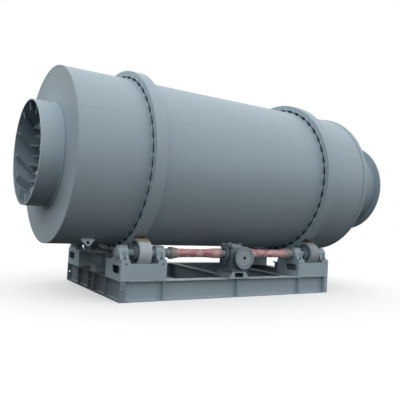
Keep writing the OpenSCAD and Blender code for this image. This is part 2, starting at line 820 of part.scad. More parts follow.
module rim_band() {
  color(paint) on_axis()
    ring_x(shell_x1 - band_w, band_w, drum_d + 2 * band_t, drum_d);
}

// A riding ring, its outer corners eased.
module riding_ring(e) {
  ease = 4;
  w = tyre_w / 2;
  color(steel) translate([e * tyre_x, 0, axis_z]) rotate([0, 90, 0])
    rotate_extrude($fn = FINE)
      polygon([[tyre_in_r, -w], [tyre_r - ease, -w], [tyre_r, -w + ease],
        [tyre_r, w - ease], [tyre_r - ease, w], [tyre_in_r, w]]);
}

// Slanted pads round a thin band, filling the space between the shell and a riding ring.
module ring_pads(e) {
  base_t = pad_h / 4;
  root = 2;
  pitch = 360 / pad_count;
  r0 = drum_r + base_t - root;
  r1 = tyre_in_r - seat_gap;
  pad_w = drum_r * sin(pitch) * 0.5;
  lean = (r1 - r0) * tan(pad_slant);
  color(dark_paint) along_x(e * tyre_x - tyre_w / 2, tyre_w) translate([0, axis_z])
    difference() {
      union() {
        circle(drum_r + base_t, $fn = FINE);
        intersection() {
          circle(r1, $fn = FINE);
          for (i = [0:pad_count - 1])
            rotate(i * pitch)
              polygon([[r0, -pad_w / 2], [r1 + root, -pad_w / 2 - lean],
                [r1 + root, pad_w / 2 - lean], [r0, pad_w / 2]]);
        }
      }
      circle(drum_r, $fn = FINE);
    }
}

// A lug with a rounded end and one hole, standing on the shell in line with the axis.
module lifting_lug() {
  end_r = 36;
  foot_h = 12;
  hole_h = 46;
  x = shell_x0 + lug_inset;
  color(paint) on_axis() rotate([-lug_angle, 0, 0]) along_y(-lug_t / 2, lug_t)
    difference() {
      hull() {
        translate([x - lug_l / 2, -drum_r - seat_gap - foot_h]) square([lug_l, foot_h]);
        translate([x, -drum_r - lug_h + end_r]) circle(end_r, $fn = ROUND);
      }
      translate([x, -drum_r - hole_h]) circle(d = lug_hole_d, $fn = ROUND);
    }
}

// --- nodes -------------------------------------------------------------------

side_beam(-1);  // near_side_beam
side_beam(1);  // far_side_beam
end_beam(-1);  // front_end_beam
end_beam(1);  // rear_end_beam
cross_beams();
stand(-1, -1);  // front_near_stand
stand(-1, 1);  // front_far_stand
stand(1, -1);  // rear_near_stand
stand(1, 1);  // rear_far_stand
bearings(-1, -1);  // front_near_bearings
bearings(-1, 1);  // front_far_bearings
bearings(1, -1);  // rear_near_bearings
bearings(1, 1);  // rear_far_bearings
gearbox_housing();
motor_flange();
gearbox_bracket();
thrust_stand(-1);  // front_thrust_stand
thrust_stand(1);  // rear_thrust_stand
shell_course(0);  // drum_shell_front
shell_course(1);  // drum_shell_middle
shell_course(2);  // drum_shell_rear
end_plate(shell_x0, shell_x0 - collar_t);  // inlet_end_plate
end_plate(shell_x1 - end_plate_t, shell_x1);  // outlet_end_plate
inner_tube();
guide_vanes();
lifters();
discharge_neck();
discharge_flange();
rim_band();
riding_ring(-1);  // front_riding_ring
riding_ring(1);  // rear_riding_ring
ring_pads(-1);  // front_ring_pads
ring_pads(1);  // rear_ring_pads
lifting_lug();
roller(-1, -1, stub_l + hub_l);  // front_near_roller
roller(1, -1, stub_l + hub_l);  // rear_near_roller
roller(-1, 1, 12);  // front_far_roller
roller(1, 1, 12);  // rear_far_roller
cardan(-hub_start, gear_x0 - gear_stub);  // front_cardan_shaft
mirror([1, 0, 0]) cardan(-hub_start, -gear_x1 - gear_stub);  // rear_cardan_shaft
cardan_wrap(-hub_start + wrap_start, gear_x0 - gear_stub - 1);  // front_cardan_wrap
mirror([1, 0, 0]) cardan_wrap(-hub_start + wrap_start, -gear_x1 - gear_stub - 1);  // rear_cardan_wrap
gearbox_output_shaft();
thrust_roller(-1);  // front_thrust_roller
thrust_roller(1);  // rear_thrust_roller
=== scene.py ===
import random
from math import cos, exp, pi, radians, sin, sqrt, tan

import bmesh
import bpy
from mathutils import Matrix, Vector, noise


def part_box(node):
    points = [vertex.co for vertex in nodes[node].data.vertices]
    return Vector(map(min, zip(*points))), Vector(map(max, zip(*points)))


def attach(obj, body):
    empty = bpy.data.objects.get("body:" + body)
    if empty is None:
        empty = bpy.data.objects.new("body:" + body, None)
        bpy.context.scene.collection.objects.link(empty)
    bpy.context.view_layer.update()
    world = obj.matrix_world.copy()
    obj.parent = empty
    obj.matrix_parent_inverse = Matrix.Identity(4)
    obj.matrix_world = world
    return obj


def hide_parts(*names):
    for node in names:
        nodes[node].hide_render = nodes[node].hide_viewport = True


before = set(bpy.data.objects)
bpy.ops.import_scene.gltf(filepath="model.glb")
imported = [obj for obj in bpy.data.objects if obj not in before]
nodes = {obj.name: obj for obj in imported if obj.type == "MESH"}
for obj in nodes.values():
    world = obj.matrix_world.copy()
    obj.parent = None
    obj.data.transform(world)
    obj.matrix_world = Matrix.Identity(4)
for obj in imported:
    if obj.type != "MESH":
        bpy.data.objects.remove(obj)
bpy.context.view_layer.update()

# ---- yard floor, sky and camera ------------------------------------------
# The dryer stands on a plain pale floor under an even white sky, as it would outdoors on a dull day,
# with something standing low behind it and to its left. The floor is lighter to the eye than to the
# steel above it, so that the drum's belly stays dark.
FLOOR_SIZE = 90.0
FLOOR_SEEN = (0.66, 0.66, 0.66)
FLOOR_LIFT = 0.40
FLOOR_IN_GLOSS = 0.1
FLOOR_BOUNCE = (0.03, 0.03, 0.03)
SKY_LEFT = (1.15, 1.15, 1.15)
SKY_RIGHT = (1.02, 1.03, 1.04)
SKY_LOW = (0.52, 0.53, 0.55)
SKY_SHUT = (0.14, 0.15, 0.17)
STAND_POINT = (-4.1264, -6.2783, 1.1057)
VIEW_RIGHT = Vector((0.83799, -0.54238, 0.05995))
VIEW_UP = Vector((-0.06296, 0.01302, 0.99793))
VIEW_AHEAD = Vector((0.54204, 0.84003, 0.02324))
LENS = 45.284
SENSOR = 36.0


class Mix:
    """One output of a finish's nodes. Sums, products and comparisons of mixes add Math nodes."""

    def __init__(self, tree, socket=None):
        self.tree = tree
        self.socket = socket

    def node(self, kind, settings=None, inputs=None, out=0):
        """Adds a node: its settings first, then the values or links of its sockets."""
        made = self.tree.nodes.new("ShaderNode" + kind)
        for name, value in (settings or {}).items():
            setattr(made, name, value)
        for name, value in (inputs or {}).items():
            socket = made.inputs[name]
            if isinstance(value, Mix):
                self.tree.links.new(value.socket, socket)
            elif isinstance(value, tuple) and len(value) == 3 and socket.type == "RGBA":
                socket.default_value = (*value, 1.0)
            else:
                socket.default_value = value
        return Mix(self.tree, made.outputs[out]) if len(made.outputs) else None

    def feed(self, shader, name):
        """Links this mix to a socket of the finish's shader."""
        self.tree.links.new(self.socket, shader.inputs[name])

    def maths(self, operation, other=None):
        """A Math node on this mix, and on another one or a number."""
        return self.node("Math", {"operation": operation}, {0: self} if other is None else {0: self, 1: other})

    def most(self, other):
        """The larger of two mixes."""
        return self.maths("MAXIMUM", other)

    def ramp(self, *stops):
        """Spreads this mix over a ramp's stops of place and shade."""
        spread = self.node("ValToRGB", inputs={"Fac": self})
        elements = spread.socket.node.color_ramp.elements
        while len(elements) < len(stops):
            elements.new(0.5)
        for stop, (place, shade) in zip(elements, stops):
            stop.position = place
            stop.color = (*shade, 1.0) if isinstance(shade, tuple) else (shade, shade, shade, 1.0)
        return spread

    def rise(self, low, high):
        """0 up to a low value of this mix and 1 from a high one."""
        return self.ramp((low, 0.0), (high, 1.0))

    def fall(self, low, high):
        """1 up to a low value of this mix and 0 from a high one."""
        return self.ramp((low, 1.0), (high, 0.0))

    def under(self, factor, over):
        """This colour with another one laid over it."""
        return self.node("Mix", {"data_type": "RGBA"}, {"Factor": factor, "A": self, "B": over}, out="Result")

    def clouds(self, scale, detail, roughness=0.5, warp=0.0):
        """Noise over this place."""
        return self.node("TexNoise", inputs={
            "Vector": self, "Scale": scale, "Detail": detail, "Roughness": roughness, "Distortion": warp})

    def stretched(self, scale):
        """This place, squeezed by a scale along each axis."""
        return self.node("Mapping", inputs={"Vector": self, "Scale": scale})

    def part(self, axis):
        """One coordinate of this place."""
        return self.node("SeparateXYZ", inputs={"Vector": self}, out=axis)

    def __abs__(self):
        return self.maths("ABSOLUTE")

    def __add__(self, other):
        return self.maths("ADD", other)

    __radd__ = __add__

    def __sub__(self, other):
        return self.maths("SUBTRACT", other)

    def __rsub__(self, other):
        return self.node("Math", {"operation": "SUBTRACT"}, {0: other, 1: self})

    def __mul__(self, other):
        return self.maths("MULTIPLY", other)

    __rmul__ = __mul__

    def __truediv__(self, other):
        return self.maths("DIVIDE", other)

    def __gt__(self, other):
        return self.maths("GREATER_THAN", other)

    def __lt__(self, other):
        return self.maths("LESS_THAN", other)


def seen_by_eye(start, in_gloss=1.0):
    """1 for what is seen directly or through a film, in_gloss for what a gloss shows, and 0 for light
    that only fills in."""
    direct = start.node("LightPath", out="Is Camera Ray")
    gloss = in_gloss * start.node("LightPath", out="Is Glossy Ray")
    through = start.node("LightPath", out="Is Transmission Ray")
    return direct.most(gloss).most(through)


def placed(name, data):
    """A new object of the scene."""
    thing = bpy.data.objects.new(name, data)
    bpy.context.scene.collection.objects.link(thing)
    return thing


world = bpy.data.worlds.new("dull_sky")
world.use_nodes = True
sky_tree = world.node_tree
sky_tree.nodes.clear()
sky = Mix(sky_tree)
sky_way = sky.node("TexCoord", out="Generated")
sky_side = sky_way.part("X")
sky_back = sky_way.part("Y")
sky_high = sky_way.part("Z")
open_sky = (sky_side * 0.5 + 0.5).ramp((0.0, SKY_LEFT), (1.0, SKY_RIGHT))
hazed = sky_high.ramp((0.02, 0.85), (0.28, 0.0))
low_down = sky_high.fall(0.04, 0.40)
walled = (0.0 - sky_side).most(sky_back).rise(0.10, 0.75)
near_sky = open_sky.under(hazed, SKY_LOW)
sky_fill = near_sky.under(low_down * walled, SKY_SHUT)
sky.node("OutputWorld", inputs={"Surface": sky.node("Background", inputs={
    "Color": sky_fill.under(seen_by_eye(sky), (1.0, 1.0, 1.0)),
    "Strength": 1.0})})
bpy.context.scene.world = world

floor_finish = bpy.data.materials.new("yard_floor")
floor_finish.use_nodes = True
floor_tree = floor_finish.node_tree
floor_tree.nodes.clear()
yard = Mix(floor_tree)
pale = yard.node("AddShader", inputs={
    0: yard.node("BsdfDiffuse", inputs={"Color": FLOOR_SEEN}),
    1: yard.node("Emission", inputs={"Color": (1.0, 1.0, 1.0), "Strength": FLOOR_LIFT})})
dull = yard.node("BsdfDiffuse", inputs={"Color": FLOOR_BOUNCE})
yard.node("OutputMaterial", inputs={"Surface": yard.node("MixShader", inputs={
    0: seen_by_eye(yard, FLOOR_IN_GLOSS), 1: dull, 2: pale})})
floor_mesh = bpy.data.meshes.new("yard_floor")
half = FLOOR_SIZE / 2
floor_mesh.from_pydata([(-half, -half, 0), (half, -half, 0), (half, half, 0), (-half, half, 0)], [],
                       [(0, 1, 2, 3)])
floor_mesh.materials.append(floor_finish)
floor = placed("yard_floor", floor_mesh)

lens = bpy.data.cameras.new("camera")
lens.lens = LENS
lens.sensor_width = SENSOR
lens.clip_end = 200
camera = placed("camera", lens)
turn = Matrix((VIEW_RIGHT, VIEW_UP, -VIEW_AHEAD)).transposed().to_4x4()
camera.matrix_world = Matrix.Translation(STAND_POINT) @ turn
bpy.context.scene.camera = camera
bpy.context.scene.view_settings.view_transform = "Standard"

# ---- base frame ----------------------------------------------------------
# A welded frame of rolled H beams, sprayed with one coat of grey-blue enamel over primer. The spray
# is a little uneven, dust lies on the upper faces, and rust freckles show where the coat is thin.
ENAMEL = (0.400, 0.505, 0.565)
BEAM_ENAMEL = (0.372, 0.468, 0.526)
# The front end beam's coat is darkened as painted shade, for the shade under the drum's overhang.
END_BEAM_SHADED = (0.235, 0.285, 0.325)
# A pale colour painted on the top flanges as a painted highlight.
TOP_FLANGE_HIGHLIGHT = (0.640, 0.720, 0.770)
# A dark colour of painted shade, laid over the front end beam and the bracket's end plates.
PAINTED_SHADE_DARK = (0.075, 0.080, 0.086)
DUST = (0.50, 0.49, 0.45)
RUST = (0.17, 0.085, 0.045)
BEAM_H = 0.250
BEAM_B = 0.125
BEAM_FLANGE = 0.010
BEAM_WEB = 0.008
RIB_T = 0.010
RIB_X = 1.120
RIB_BACK = 0.006
END_RIBS_Y = (-0.472, -0.102, 0.102, 0.472)
CROSS_X = (-0.96, 0.0, 0.96)
ROOT_R = 0.009
RIB_BEAD = 0.0045
JOINT_BEAD = 0.004
random.seed(11)


def toned(share, colour=ENAMEL):
    """A colour made darker or lighter."""
    return tuple(c * share for c in colour)


def new_finish(name):
    """A finish, its shader, and the place that its patterns follow."""
    finish = bpy.data.materials.new(name)
    finish.use_nodes = True
    shader = finish.node_tree.nodes["Principled BSDF"]
    return finish, shader, Mix(finish.node_tree).node("TexCoord", out="Object")


def enamel(name, colour, rough=0.5, shade=0.05, grime=0.15, freckle=0.1, grain=0.0, streaks=(9.0, 9.0, 0.9),
           level=0.4, washed_top=0.0, mask=None):
    """Sprayed enamel: clouded colour, dust on what faces up, washed streaks, rust freckles and orange
    peel. A mask function may add worn or stained places of its own to the colour."""
    finish, shader, place = new_finish(name)
    cloud = place.clouds(1.1, 4.0, 0.6)
    fine = place.clouds(26.0, 5.0, 0.65)
    dark, light = toned(1 - shade, colour), toned(1 + shade, colour)
    tone = (cloud * 0.7 + fine * 0.3).ramp((0.3, dark), (0.7, light))
    upward = place.node("NewGeometry", out="Normal").part("Z").rise(0.55, 0.95)
    dust = upward * fine * grime
    dust_and_top_light = tone.under(dust, DUST)
    run = place.stretched(streaks).clouds(2.2, 5.0).rise(0.48, 0.78)
    washed = dust_and_top_light.under(run * grime * 0.45, toned(0.74, colour))
    spots = place.clouds(60.0, 3.0, 0.7)
    patch = place.clouds(4.0, 2.0)
    spot = (spots * 0.8 + patch * 0.28).rise(0.71, 0.76)
    painted = washed.under(spot * freckle, RUST)
    sheen = (fine * 0.6 + cloud * 0.4).ramp((0.3, rough - 0.06), (0.7, rough + 0.08))
    roughness = sheen + dust * 0.3 - washed_top * upward
    if mask is not None:
        painted, roughness = mask(place, fine, painted, roughness)
    painted.feed(shader, "Base Color")
    roughness.feed(shader, "Roughness")
    peel = place.clouds(380.0, 2.0)
    sand = place.clouds(160.0, 4.0, 0.7)
    height = peel * (0.35 - 0.3 * grain) + sand * grain + fine * 0.5
    place.node("Bump", inputs={"Height": height, "Strength": 0.12 + 0.4 * grain, "Distance": 0.002}).feed(
        shader, "Normal")
    shader.inputs["Specular IOR Level"].default_value = level
    return finish


def dress(finish, *names):
    """Gives CAD nodes their finish."""
    for name in names:
        nodes[name].data.materials.clear()
        nodes[name].data.materials.append(finish)


def fit(name, shape, finish, body, smooth=False):
    """Turns a worked shape into a piece with its finish, riding on a body."""
    bmesh.ops.recalc_face_normals(shape, faces=shape.faces)
    mesh = bpy.data.meshes.new(name)
    shape.to_mesh(mesh)
    shape.free()
    if smooth:
        mesh.shade_smooth()
    mesh.materials.append(finish)
    piece = placed(name, mesh)
    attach(piece, body)
    return piece


def skin(shape, rings, closed=False):
    """Bands of faces from each ring of corners to the next, and from the last to the first if closed."""
    for low, high in zip(rings, rings[1:] + (rings[:1] if closed else [])):
        for k in range(len(low)):
            j = (k + 1) % len(low)
            shape.faces.new((low[k], low[j], high[j], high[k]))


def bead(shape, path, leg, step=0.006, closed=False):
    """A run of weld along a path: a rippled bar of six sides, thicker and thinner as the torch moved."""
    spots = [Vector(p) for p in path]
    if closed:
        spots.append(spots[0])
    run = []
    for a, b in zip(spots, spots[1:]):
        count = max(1, int((b - a).length / step))
        run += [a.lerp(b, k / count) for k in range(count)]
    if not closed:
        run.append(spots[-1])
    rings = []
    last = len(run)
    for k, here in enumerate(run):
        ahead = run[(k + 1) % last] if closed else run[min(k + 1, last - 1)]
        behind = run[k - 1] if closed or k else run[0]
        along = (ahead - behind).normalized()
        side = along.cross(Vector((0.31, 0.52, 0.79))).normalized()
        over = along.cross(side)
        fat = leg * (1.0 + 0.13 * sin(k * 2.1) + 0.12 * noise.noise(here * 40))
        ways = [side * cos(t * pi / 3) + over * sin(t * pi / 3) for t in range(6)]
        rings.append([shape.verts.new(here + fat * way) for way in ways])
    skin(shape, rings, closed)
    if not closed:
        shape.faces.new(rings[0])
        shape.faces.new(rings[-1])


def oblong(low_x, low_y, high_x, high_y, z):
    """The corners of a rectangle at a height."""
    return [(low_x, low_y, z), (high_x, low_y, z), (high_x, high_y, z), (low_x, high_y, z)]


def root(shape, corner, along, out, up, radius=ROOT_R):
    """The rolled root between a beam's web and flange: a hollow quarter round along the corner."""
    a = Vector(corner)
    run, out, up = Vector(along), Vector(out), Vector(up)
    ends = []
    for base in (a, a + run):
        row = [base, base + out * radius]
        for k in range(1, 4):
            t = k * pi / 8
            row.append(base + out * radius * (1 - sin(t)) + up * radius * (1 - cos(t)))
        row.append(base + up * radius)
        ends.append([shape.verts.new(v) for v in row])
    skin(shape, ends)
    shape.faces.new(ends[0])
    shape.faces.new(ends[1])


def lit_top_flanges(place, fine, painted, roughness):
    """Painted highlight: the tops of the top flanges are painted pale, where light falls on them."""
    top = (place.part("Z") > (BEAM_H - BEAM_FLANGE + 0.0008)) * (0.55 + 0.5 * fine)
    return painted.under(top, TOP_FLANGE_HIGHLIGHT), roughness


def shaded_end_beam(place, fine, painted, roughness):
    """Painted shade: the middle of the end beam is painted darker still."""
    across = place.part("Y")
    near = (across + 1.0 + 0.1 * fine).rise(0.28, 0.90)
    far = across.fall(0.60, 0.82)
    return painted.under(near * far * (0.5 + 0.5 * fine), PAINTED_SHADE_DARK), roughness


frame_enamel = enamel("frame_enamel", BEAM_ENAMEL, rough=0.55, grime=0.3, freckle=0.2, washed_top=0.2,
                      mask=lit_top_flanges)
dress(frame_enamel, "near_side_beam", "far_side_beam", "rear_end_beam")
# The cross beams under the drum are painted darker than the side beams, as painted shade.
dress(enamel("cross_beam_shaded_enamel", toned(0.8, BEAM_ENAMEL), rough=0.75, grime=0.3, freckle=0.3), "cross_beams")
dress(enamel("end_beam_shaded_enamel", END_BEAM_SHADED, rough=0.6, shade=0.12, grime=0.3, freckle=0.3, level=0.3,
             mask=shaded_end_beam), "front_end_beam")
frame_low, frame_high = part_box("front_end_beam")
frame_half_y = frame_high[1]
frame_end_x = abs(frame_low[0])
beam_y = frame_half_y - BEAM_B / 2

roots = bmesh.new()
for side in (-1, 1):
    for face in (-1, 1):
        for z, up in ((BEAM_FLANGE, 1), (BEAM_H - BEAM_FLANGE, -1)):
            root(roots, (-frame_end_x + BEAM_B, side * beam_y + face * BEAM_WEB / 2, z),
                 (2 * (frame_end_x - BEAM_B), 0, 0), (0, face, 0), (0, 0, up))
            root(roots, (side * (frame_end_x - BEAM_B / 2) + face * BEAM_WEB / 2, -frame_half_y + RIB_T, z),
                 (0, 2 * (frame_half_y - RIB_T), 0), (face, 0, 0), (0, 0, up))
fit("frame_beam_roots", roots, frame_enamel, "base")

frame_welds = bmesh.new()
rib_in = BEAM_WEB / 2
top_in = BEAM_H - BEAM_FLANGE
for side in (-1, 1):
    for x in (-RIB_X, 0.0, RIB_X):
        for face in (-1, 1):
            at = x + face * RIB_T / 2
            y_in, y_out = side * (beam_y + rib_in), side * (beam_y + BEAM_B / 2 - RIB_BACK)
            bead(frame_welds, [(at, y_out, BEAM_FLANGE), (at, y_in, BEAM_FLANGE), (at, y_in, top_in),
                               (at, y_out, top_in)], RIB_BEAD)
    in_y, out_y = side * (beam_y - BEAM_B / 2), side * (beam_y + BEAM_B / 2)
    for end in (-1, 1):
        x = end * (frame_end_x - BEAM_B)
        for run in ([(x, in_y, BEAM_H), (x, out_y, BEAM_H)], [(x, out_y, top_in), (x, out_y, BEAM_H)],
                    [(x, out_y, 0.0), (x, out_y, BEAM_FLANGE)]):
            bead(frame_welds, run, JOINT_BEAD)
for end in (-1, 1):
    for y in END_RIBS_Y:
        for face in (-1, 1):
            at = y + face * RIB_T / 2
            x_in, x_out = end * (frame_end_x - BEAM_B / 2 + rib_in), end * (frame_end_x - RIB_BACK)
            bead(frame_welds, [(x_out, at, BEAM_FLANGE), (x_in, at, BEAM_FLANGE), (x_in, at, top_in),
                               (x_out, at, top_in)], RIB_BEAD)
for x in CROSS_X:
    for side in (-1, 1):
        y = side * (beam_y - BEAM_B / 2)
        bead(frame_welds, [(x - BEAM_B / 2, y, BEAM_H), (x + BEAM_B / 2, y, BEAM_H)], JOINT_BEAD)
fit("frame_welds", frame_welds, frame_enamel, "base", smooth=True)

# ---- roller stands -------------------------------------------------------
# Four boxes welded up from 12 mm plate, with a slot in each end plate and machined seats for the
# bearings. They are tacked and then run round the foot with a full bead on the frame.
STAND_PLATE = 0.012
STAND_TOP = 0.4675
SEAT_L = 0.118
FOOT_BEAD = 0.005
SEAT_BEAD = 0.0026

stand_enamel = enamel("stand_enamel", ENAMEL, rough=0.55, shade=0.06, grime=0.35, freckle=0.2,
                      streaks=(7.0, 7.0, 1.2), washed_top=0.2)
for end in ("front", "rear"):
    for side in ("near", "far"):
        stand = f"{end}_{side}_stand"
        dress(stand_enamel, stand)
        low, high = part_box(stand)
        welds = bmesh.new()
        foot = low[2] + 0.002
        bead(welds, oblong(low[0], low[1], high[0], high[1], foot), FOOT_BEAD, 0.007, closed=True)
        walls = (low[1] + STAND_PLATE, high[1] - STAND_PLATE)
        for x in (low[0], high[0]):
            for y in walls:
                bead(welds, [(x, y, foot + 0.004), (x, y, high[2] - 0.018)], 0.0028)
        for x, inward in ((low[0] + SEAT_L, 0.001), (high[0] - SEAT_L, -0.001)):
            for y in walls:
                bead(welds, [(x + inward, y, foot + 0.004), (x + inward, y, high[2] - 0.02)], JOINT_BEAD)
        for x0, x1 in ((low[0], low[0] + SEAT_L), (high[0] - SEAT_L, high[0])):
            for y in walls:
                bead(welds, [(x0 + 0.004, y, high[2]), (x1 - 0.004, y, high[2])], SEAT_BEAD)
        fit(f"{stand}_welds", welds, stand_enamel, "base", smooth=True)

# ---- roller bearings -----------------------------------------------------
# Eight cast pillow blocks, brushed with the same enamel, so the sand-cast skin shows through it.
# Each is held by two studs; its cap has six screws, and a grease nipple stands on its crown.
BEARING_HALF = 0.055
BEARING_R = 0.078
CAP_OUT = 0.018
CAP_SCREW_R = 0.060
CAP_SCREW = 0.008
AXLE_UP = 0.100
STUD = 0.020
STUD_Y = 0.111
FOOT_TOP = 0.030
ZINC = (0.215, 0.240, 0.260)


def lie(point, along):
    """A place at a point with its Z along a direction."""
    turn_to = Vector(along).to_track_quat("Z", "Y").to_matrix().to_4x4()
    return Matrix.Translation(Vector(point)) @ turn_to


def turned(shape, place, profile, sides=24, spin=0.0):
    """A turned shape, or a hexagon with six sides, from radii and heights along a place's Z."""
    angles = [spin + 2 * pi * k / sides for k in range(sides)]
    rings = []
    for r, h in profile:
        corners = [(r * cos(a), r * sin(a), h) for a in angles] if r else [(0.0, 0.0, h)]
        rings.append([shape.verts.new(place @ Vector(corner)) for corner in corners])
    for low, high in zip(rings, rings[1:]):
        for k in range(sides):
            j = (k + 1) % sides
            around = [low[0], high[k], high[j]] if len(low) == 1 else (
                [low[k], low[j], high[0]] if len(high) == 1 else [low[k], low[j], high[j], high[k]])
            shape.faces.new(around)
    for ring in (rings[0], rings[-1]):
        if len(ring) > 1:
            shape.faces.new(ring)


def circle(centre, axis, radius, count, first=0.0):
    """Points round a centre, across an axis named by its letter."""
    x, y, z = centre
    for k in range(count):
        a = radians(first + 360 * k / count)
        c, s = radius * cos(a), radius * sin(a)
        yield {"X": (x, y + c, z + s), "Y": (x + c, y, z + s), "Z": (x + c, y + s, z)}[axis]


def hollow(shape, place, outline, count=48, reach=None):
    """Sweeps a closed outline of (radius, height) about a place's axis, which leaves a hole in its
    middle. A reach function stretches the outer radii with the angle."""
    bore = min(r for r, h in outline)
    rings = []
    for r, h in outline:
        rings.append([])
        for k in range(count):
            a = 2 * pi * k / count
            wide = r * reach(a) if reach and r > bore else r
            rings[-1].append(shape.verts.new(place @ Vector((wide * cos(a), wide * sin(a), h))))
    skin(shape, rings, closed=True)


def screw(shape, point, along, d):
    """A hexagon screw on its washer, turned to a chance angle."""
    place = lie(point, along)
    turned(shape, place, [(1.06 * d, 0), (1.06 * d, 0.12 * d), (1.0 * d, 0.17 * d), (0, 0.17 * d)], 20)
    turned(shape, place, [(0.94 * d, 0.15 * d), (0.96 * d, 0.2 * d), (0.96 * d, 0.72 * d), (0.84 * d, 0.84 * d),
                          (0, 0.84 * d)], 6, random.uniform(0, 1))


def stud(shape, point, along, d):
    """A stud's end through a washer and a nut, with two threads' worth standing proud."""
    place = lie(point, along)
    turned(shape, place, [(1.1 * d, 0), (1.1 * d, 0.13 * d), (1.04 * d, 0.18 * d), (0, 0.18 * d)], 20)
    turned(shape, place, [(0.84 * d, 0.16 * d), (0.96 * d, 0.26 * d), (0.96 * d, 0.86 * d),
                          (0.84 * d, 0.98 * d), (0, 0.98 * d)], 6, random.uniform(0, 1))
    thread = [(0.5 * d, 0.9 * d)]
    for k in range(5):
        thread += [(0.5 * d, (1.0 + 0.1 * k) * d), (0.45 * d, (1.05 + 0.1 * k) * d)]
    turned(shape, place, thread + [(0.42 * d, 1.55 * d), (0, 1.56 * d)], 14)


def nipple(shape, point, along, d=0.010):
    """A grease nipple on its small hexagon."""
    place = lie(point, along)
    turned(shape, place, [(0.6 * d, 0), (0.6 * d, 0.5 * d), (0, 0.5 * d)], 6)
    turned(shape, place, [(0.34 * d, 0.45 * d), (0.34 * d, 0.9 * d), (0.22 * d, 1.1 * d), (0.3 * d, 1.35 * d),
                          (0.16 * d, 1.6 * d), (0, 1.62 * d)], 12)


def fastened(name, colour, rough, metal, rust=0.08):
    """Plated or oiled steel of small fittings: dull, spotted with dirt and some rust."""
    finish, shader, place = new_finish(name)
    blot = place.clouds(70.0, 4.0, 0.65)
    tint = blot.ramp((0.35, toned(0.7, colour)), (0.6, colour))
    rusty = blot.rise(0.56, 0.68)
    tint.under(rusty * rust, RUST).feed(shader, "Base Color")
    (rough + 0.35 * blot).feed(shader, "Roughness")
    place.node("Bump", inputs={"Height": blot, "Strength": 0.2, "Distance": 0.001}).feed(shader, "Normal")
    shader.inputs["Metallic"].default_value = metal
    return finish


cast_enamel = enamel("cast_enamel", toned(0.98), rough=0.46, shade=0.08, grime=0.3, freckle=0.15, grain=0.6)
zinc = fastened("fastener_zinc", ZINC, 0.42, 0.35)
screws = bmesh.new()
caps = bmesh.new()
for end, way in (("front", -1), ("rear", 1)):
    for side in ("near", "far"):
        block = f"{end}_{side}_bearings"
        dress(cast_enamel, block)
        low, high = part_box(block)
        axle_y, axle_z = (low[1] + high[1]) / 2, STAND_TOP + AXLE_UP
        for x, out in ((low[0] + CAP_OUT + BEARING_HALF, -1), (high[0] - CAP_OUT - BEARING_HALF, 1)):
            face = x + out * (BEARING_HALF + CAP_OUT)
            place = lie((face - out * 0.003, axle_y, axle_z), (out, 0, 0))
            if out == way:
                turned(caps, place, [(0.052, 0), (0.052, 0.006), (0.046, 0.010), (0.028, 0.010),
                                     (0.024, 0.0065), (0.010, 0.0065), (0.008, 0.0085), (0, 0.0085)], 48)
            else:
                hollow(caps, place, [(0.0455, 0), (0.0530, 0), (0.0530, 0.0055), (0.0505, 0.008),
                                     (0.0455, 0.008)])
            for point in circle((face, axle_y, axle_z), "X", CAP_SCREW_R, 6, 30):
                screw(screws, point, (out, 0, 0), CAP_SCREW)
            for hand in (-1, 1):
                stud(screws, (x, axle_y + hand * STUD_Y, STAND_TOP + FOOT_TOP), (0, 0, 1), STUD)
            nipple(screws, (x, axle_y, axle_z + BEARING_R + 0.010), (0, 0, 1))
            turned(caps, lie((x, axle_y, axle_z + BEARING_R + 0.0095), (0, 0, 1)),
                   [(0.011, 0), (0.011, 0.001), (0.009, 0.003), (0, 0.003)], 20)
fit("bearing_cap_rings", caps, cast_enamel, "base")
fit("bearing_screws", screws, zinc, "base")

# ---- support rollers -----------------------------------------------------
# Cast rollers shrunk on 90 mm shafts. Their sides are painted; the treads are rubbed bright, scored
# round, and carry a yellow-brown bloom of rust where rain has stood on top of them.
ROLLER_R = 0.173
KEEPER_SCREW_R = 0.068
ROLLER_SIDE = 0.0825
ROLLER_Y = 0.782659
ROLLER_Z = 0.5675
TYRE_X = 1.3975
TREAD_RUST = (0.34, 0.245, 0.130)
TREAD_OLD = (0.215, 0.190, 0.165)
NEAR_TREAD = (0.56, 0.66, 0.71)
WORN_TREAD = (0.40, 0.45, 0.48)
FAR_TREAD = (0.34, 0.36, 0.36)


def off_axis(place, centre, keep=(0.0, 1.0, 1.0)):
    """How far a point lies from an axis through a centre; keep blanks the axis itself."""
    moved = place.node("VectorMath", {"operation": "SUBTRACT"}, {0: place, 1: centre})
    flat = place.node("VectorMath", {"operation": "MULTIPLY"}, {0: moved, 1: keep})
    return place.node("VectorMath", {"operation": "LENGTH"}, {0: flat}, out="Value")


def tread_wear(hand, metal, old, from_height):
    """Rubbed metal on a tread whose shaft lies on one side of the frame: how old its rust is, and
    the height above the shaft from which the yellow bloom starts."""
    def wear(place, fine, painted, roughness):
        radius = off_axis(place, (0.0, hand * ROLLER_Y, ROLLER_Z))
        tread = ((radius - (ROLLER_R - 0.005)) * 250.0).rise(0.0, 1.0)
        score = place.stretched((190.0, 5.0, 5.0)).clouds(1.0, 6.0)
        bloom = place.clouds(9.0, 4.0, 0.6)
        height = place.part("Z") - (ROLLER_Z + from_height)
        wet = (height * 60.0 + 1.6 * (bloom - 0.5)).rise(0.0, 1.0)
        rubbed = score.ramp((0.35, toned(0.86, metal)), (0.62, metal))
        aged = (bloom * 0.7 + score * 0.3).rise(0.42, 0.62)
        dulled = rubbed.under(aged * old, TREAD_OLD)
        rusted = dulled.under(wet * 0.85, TREAD_RUST)
        return painted.under(tread, rusted), roughness - tread * 0.05
    return wear


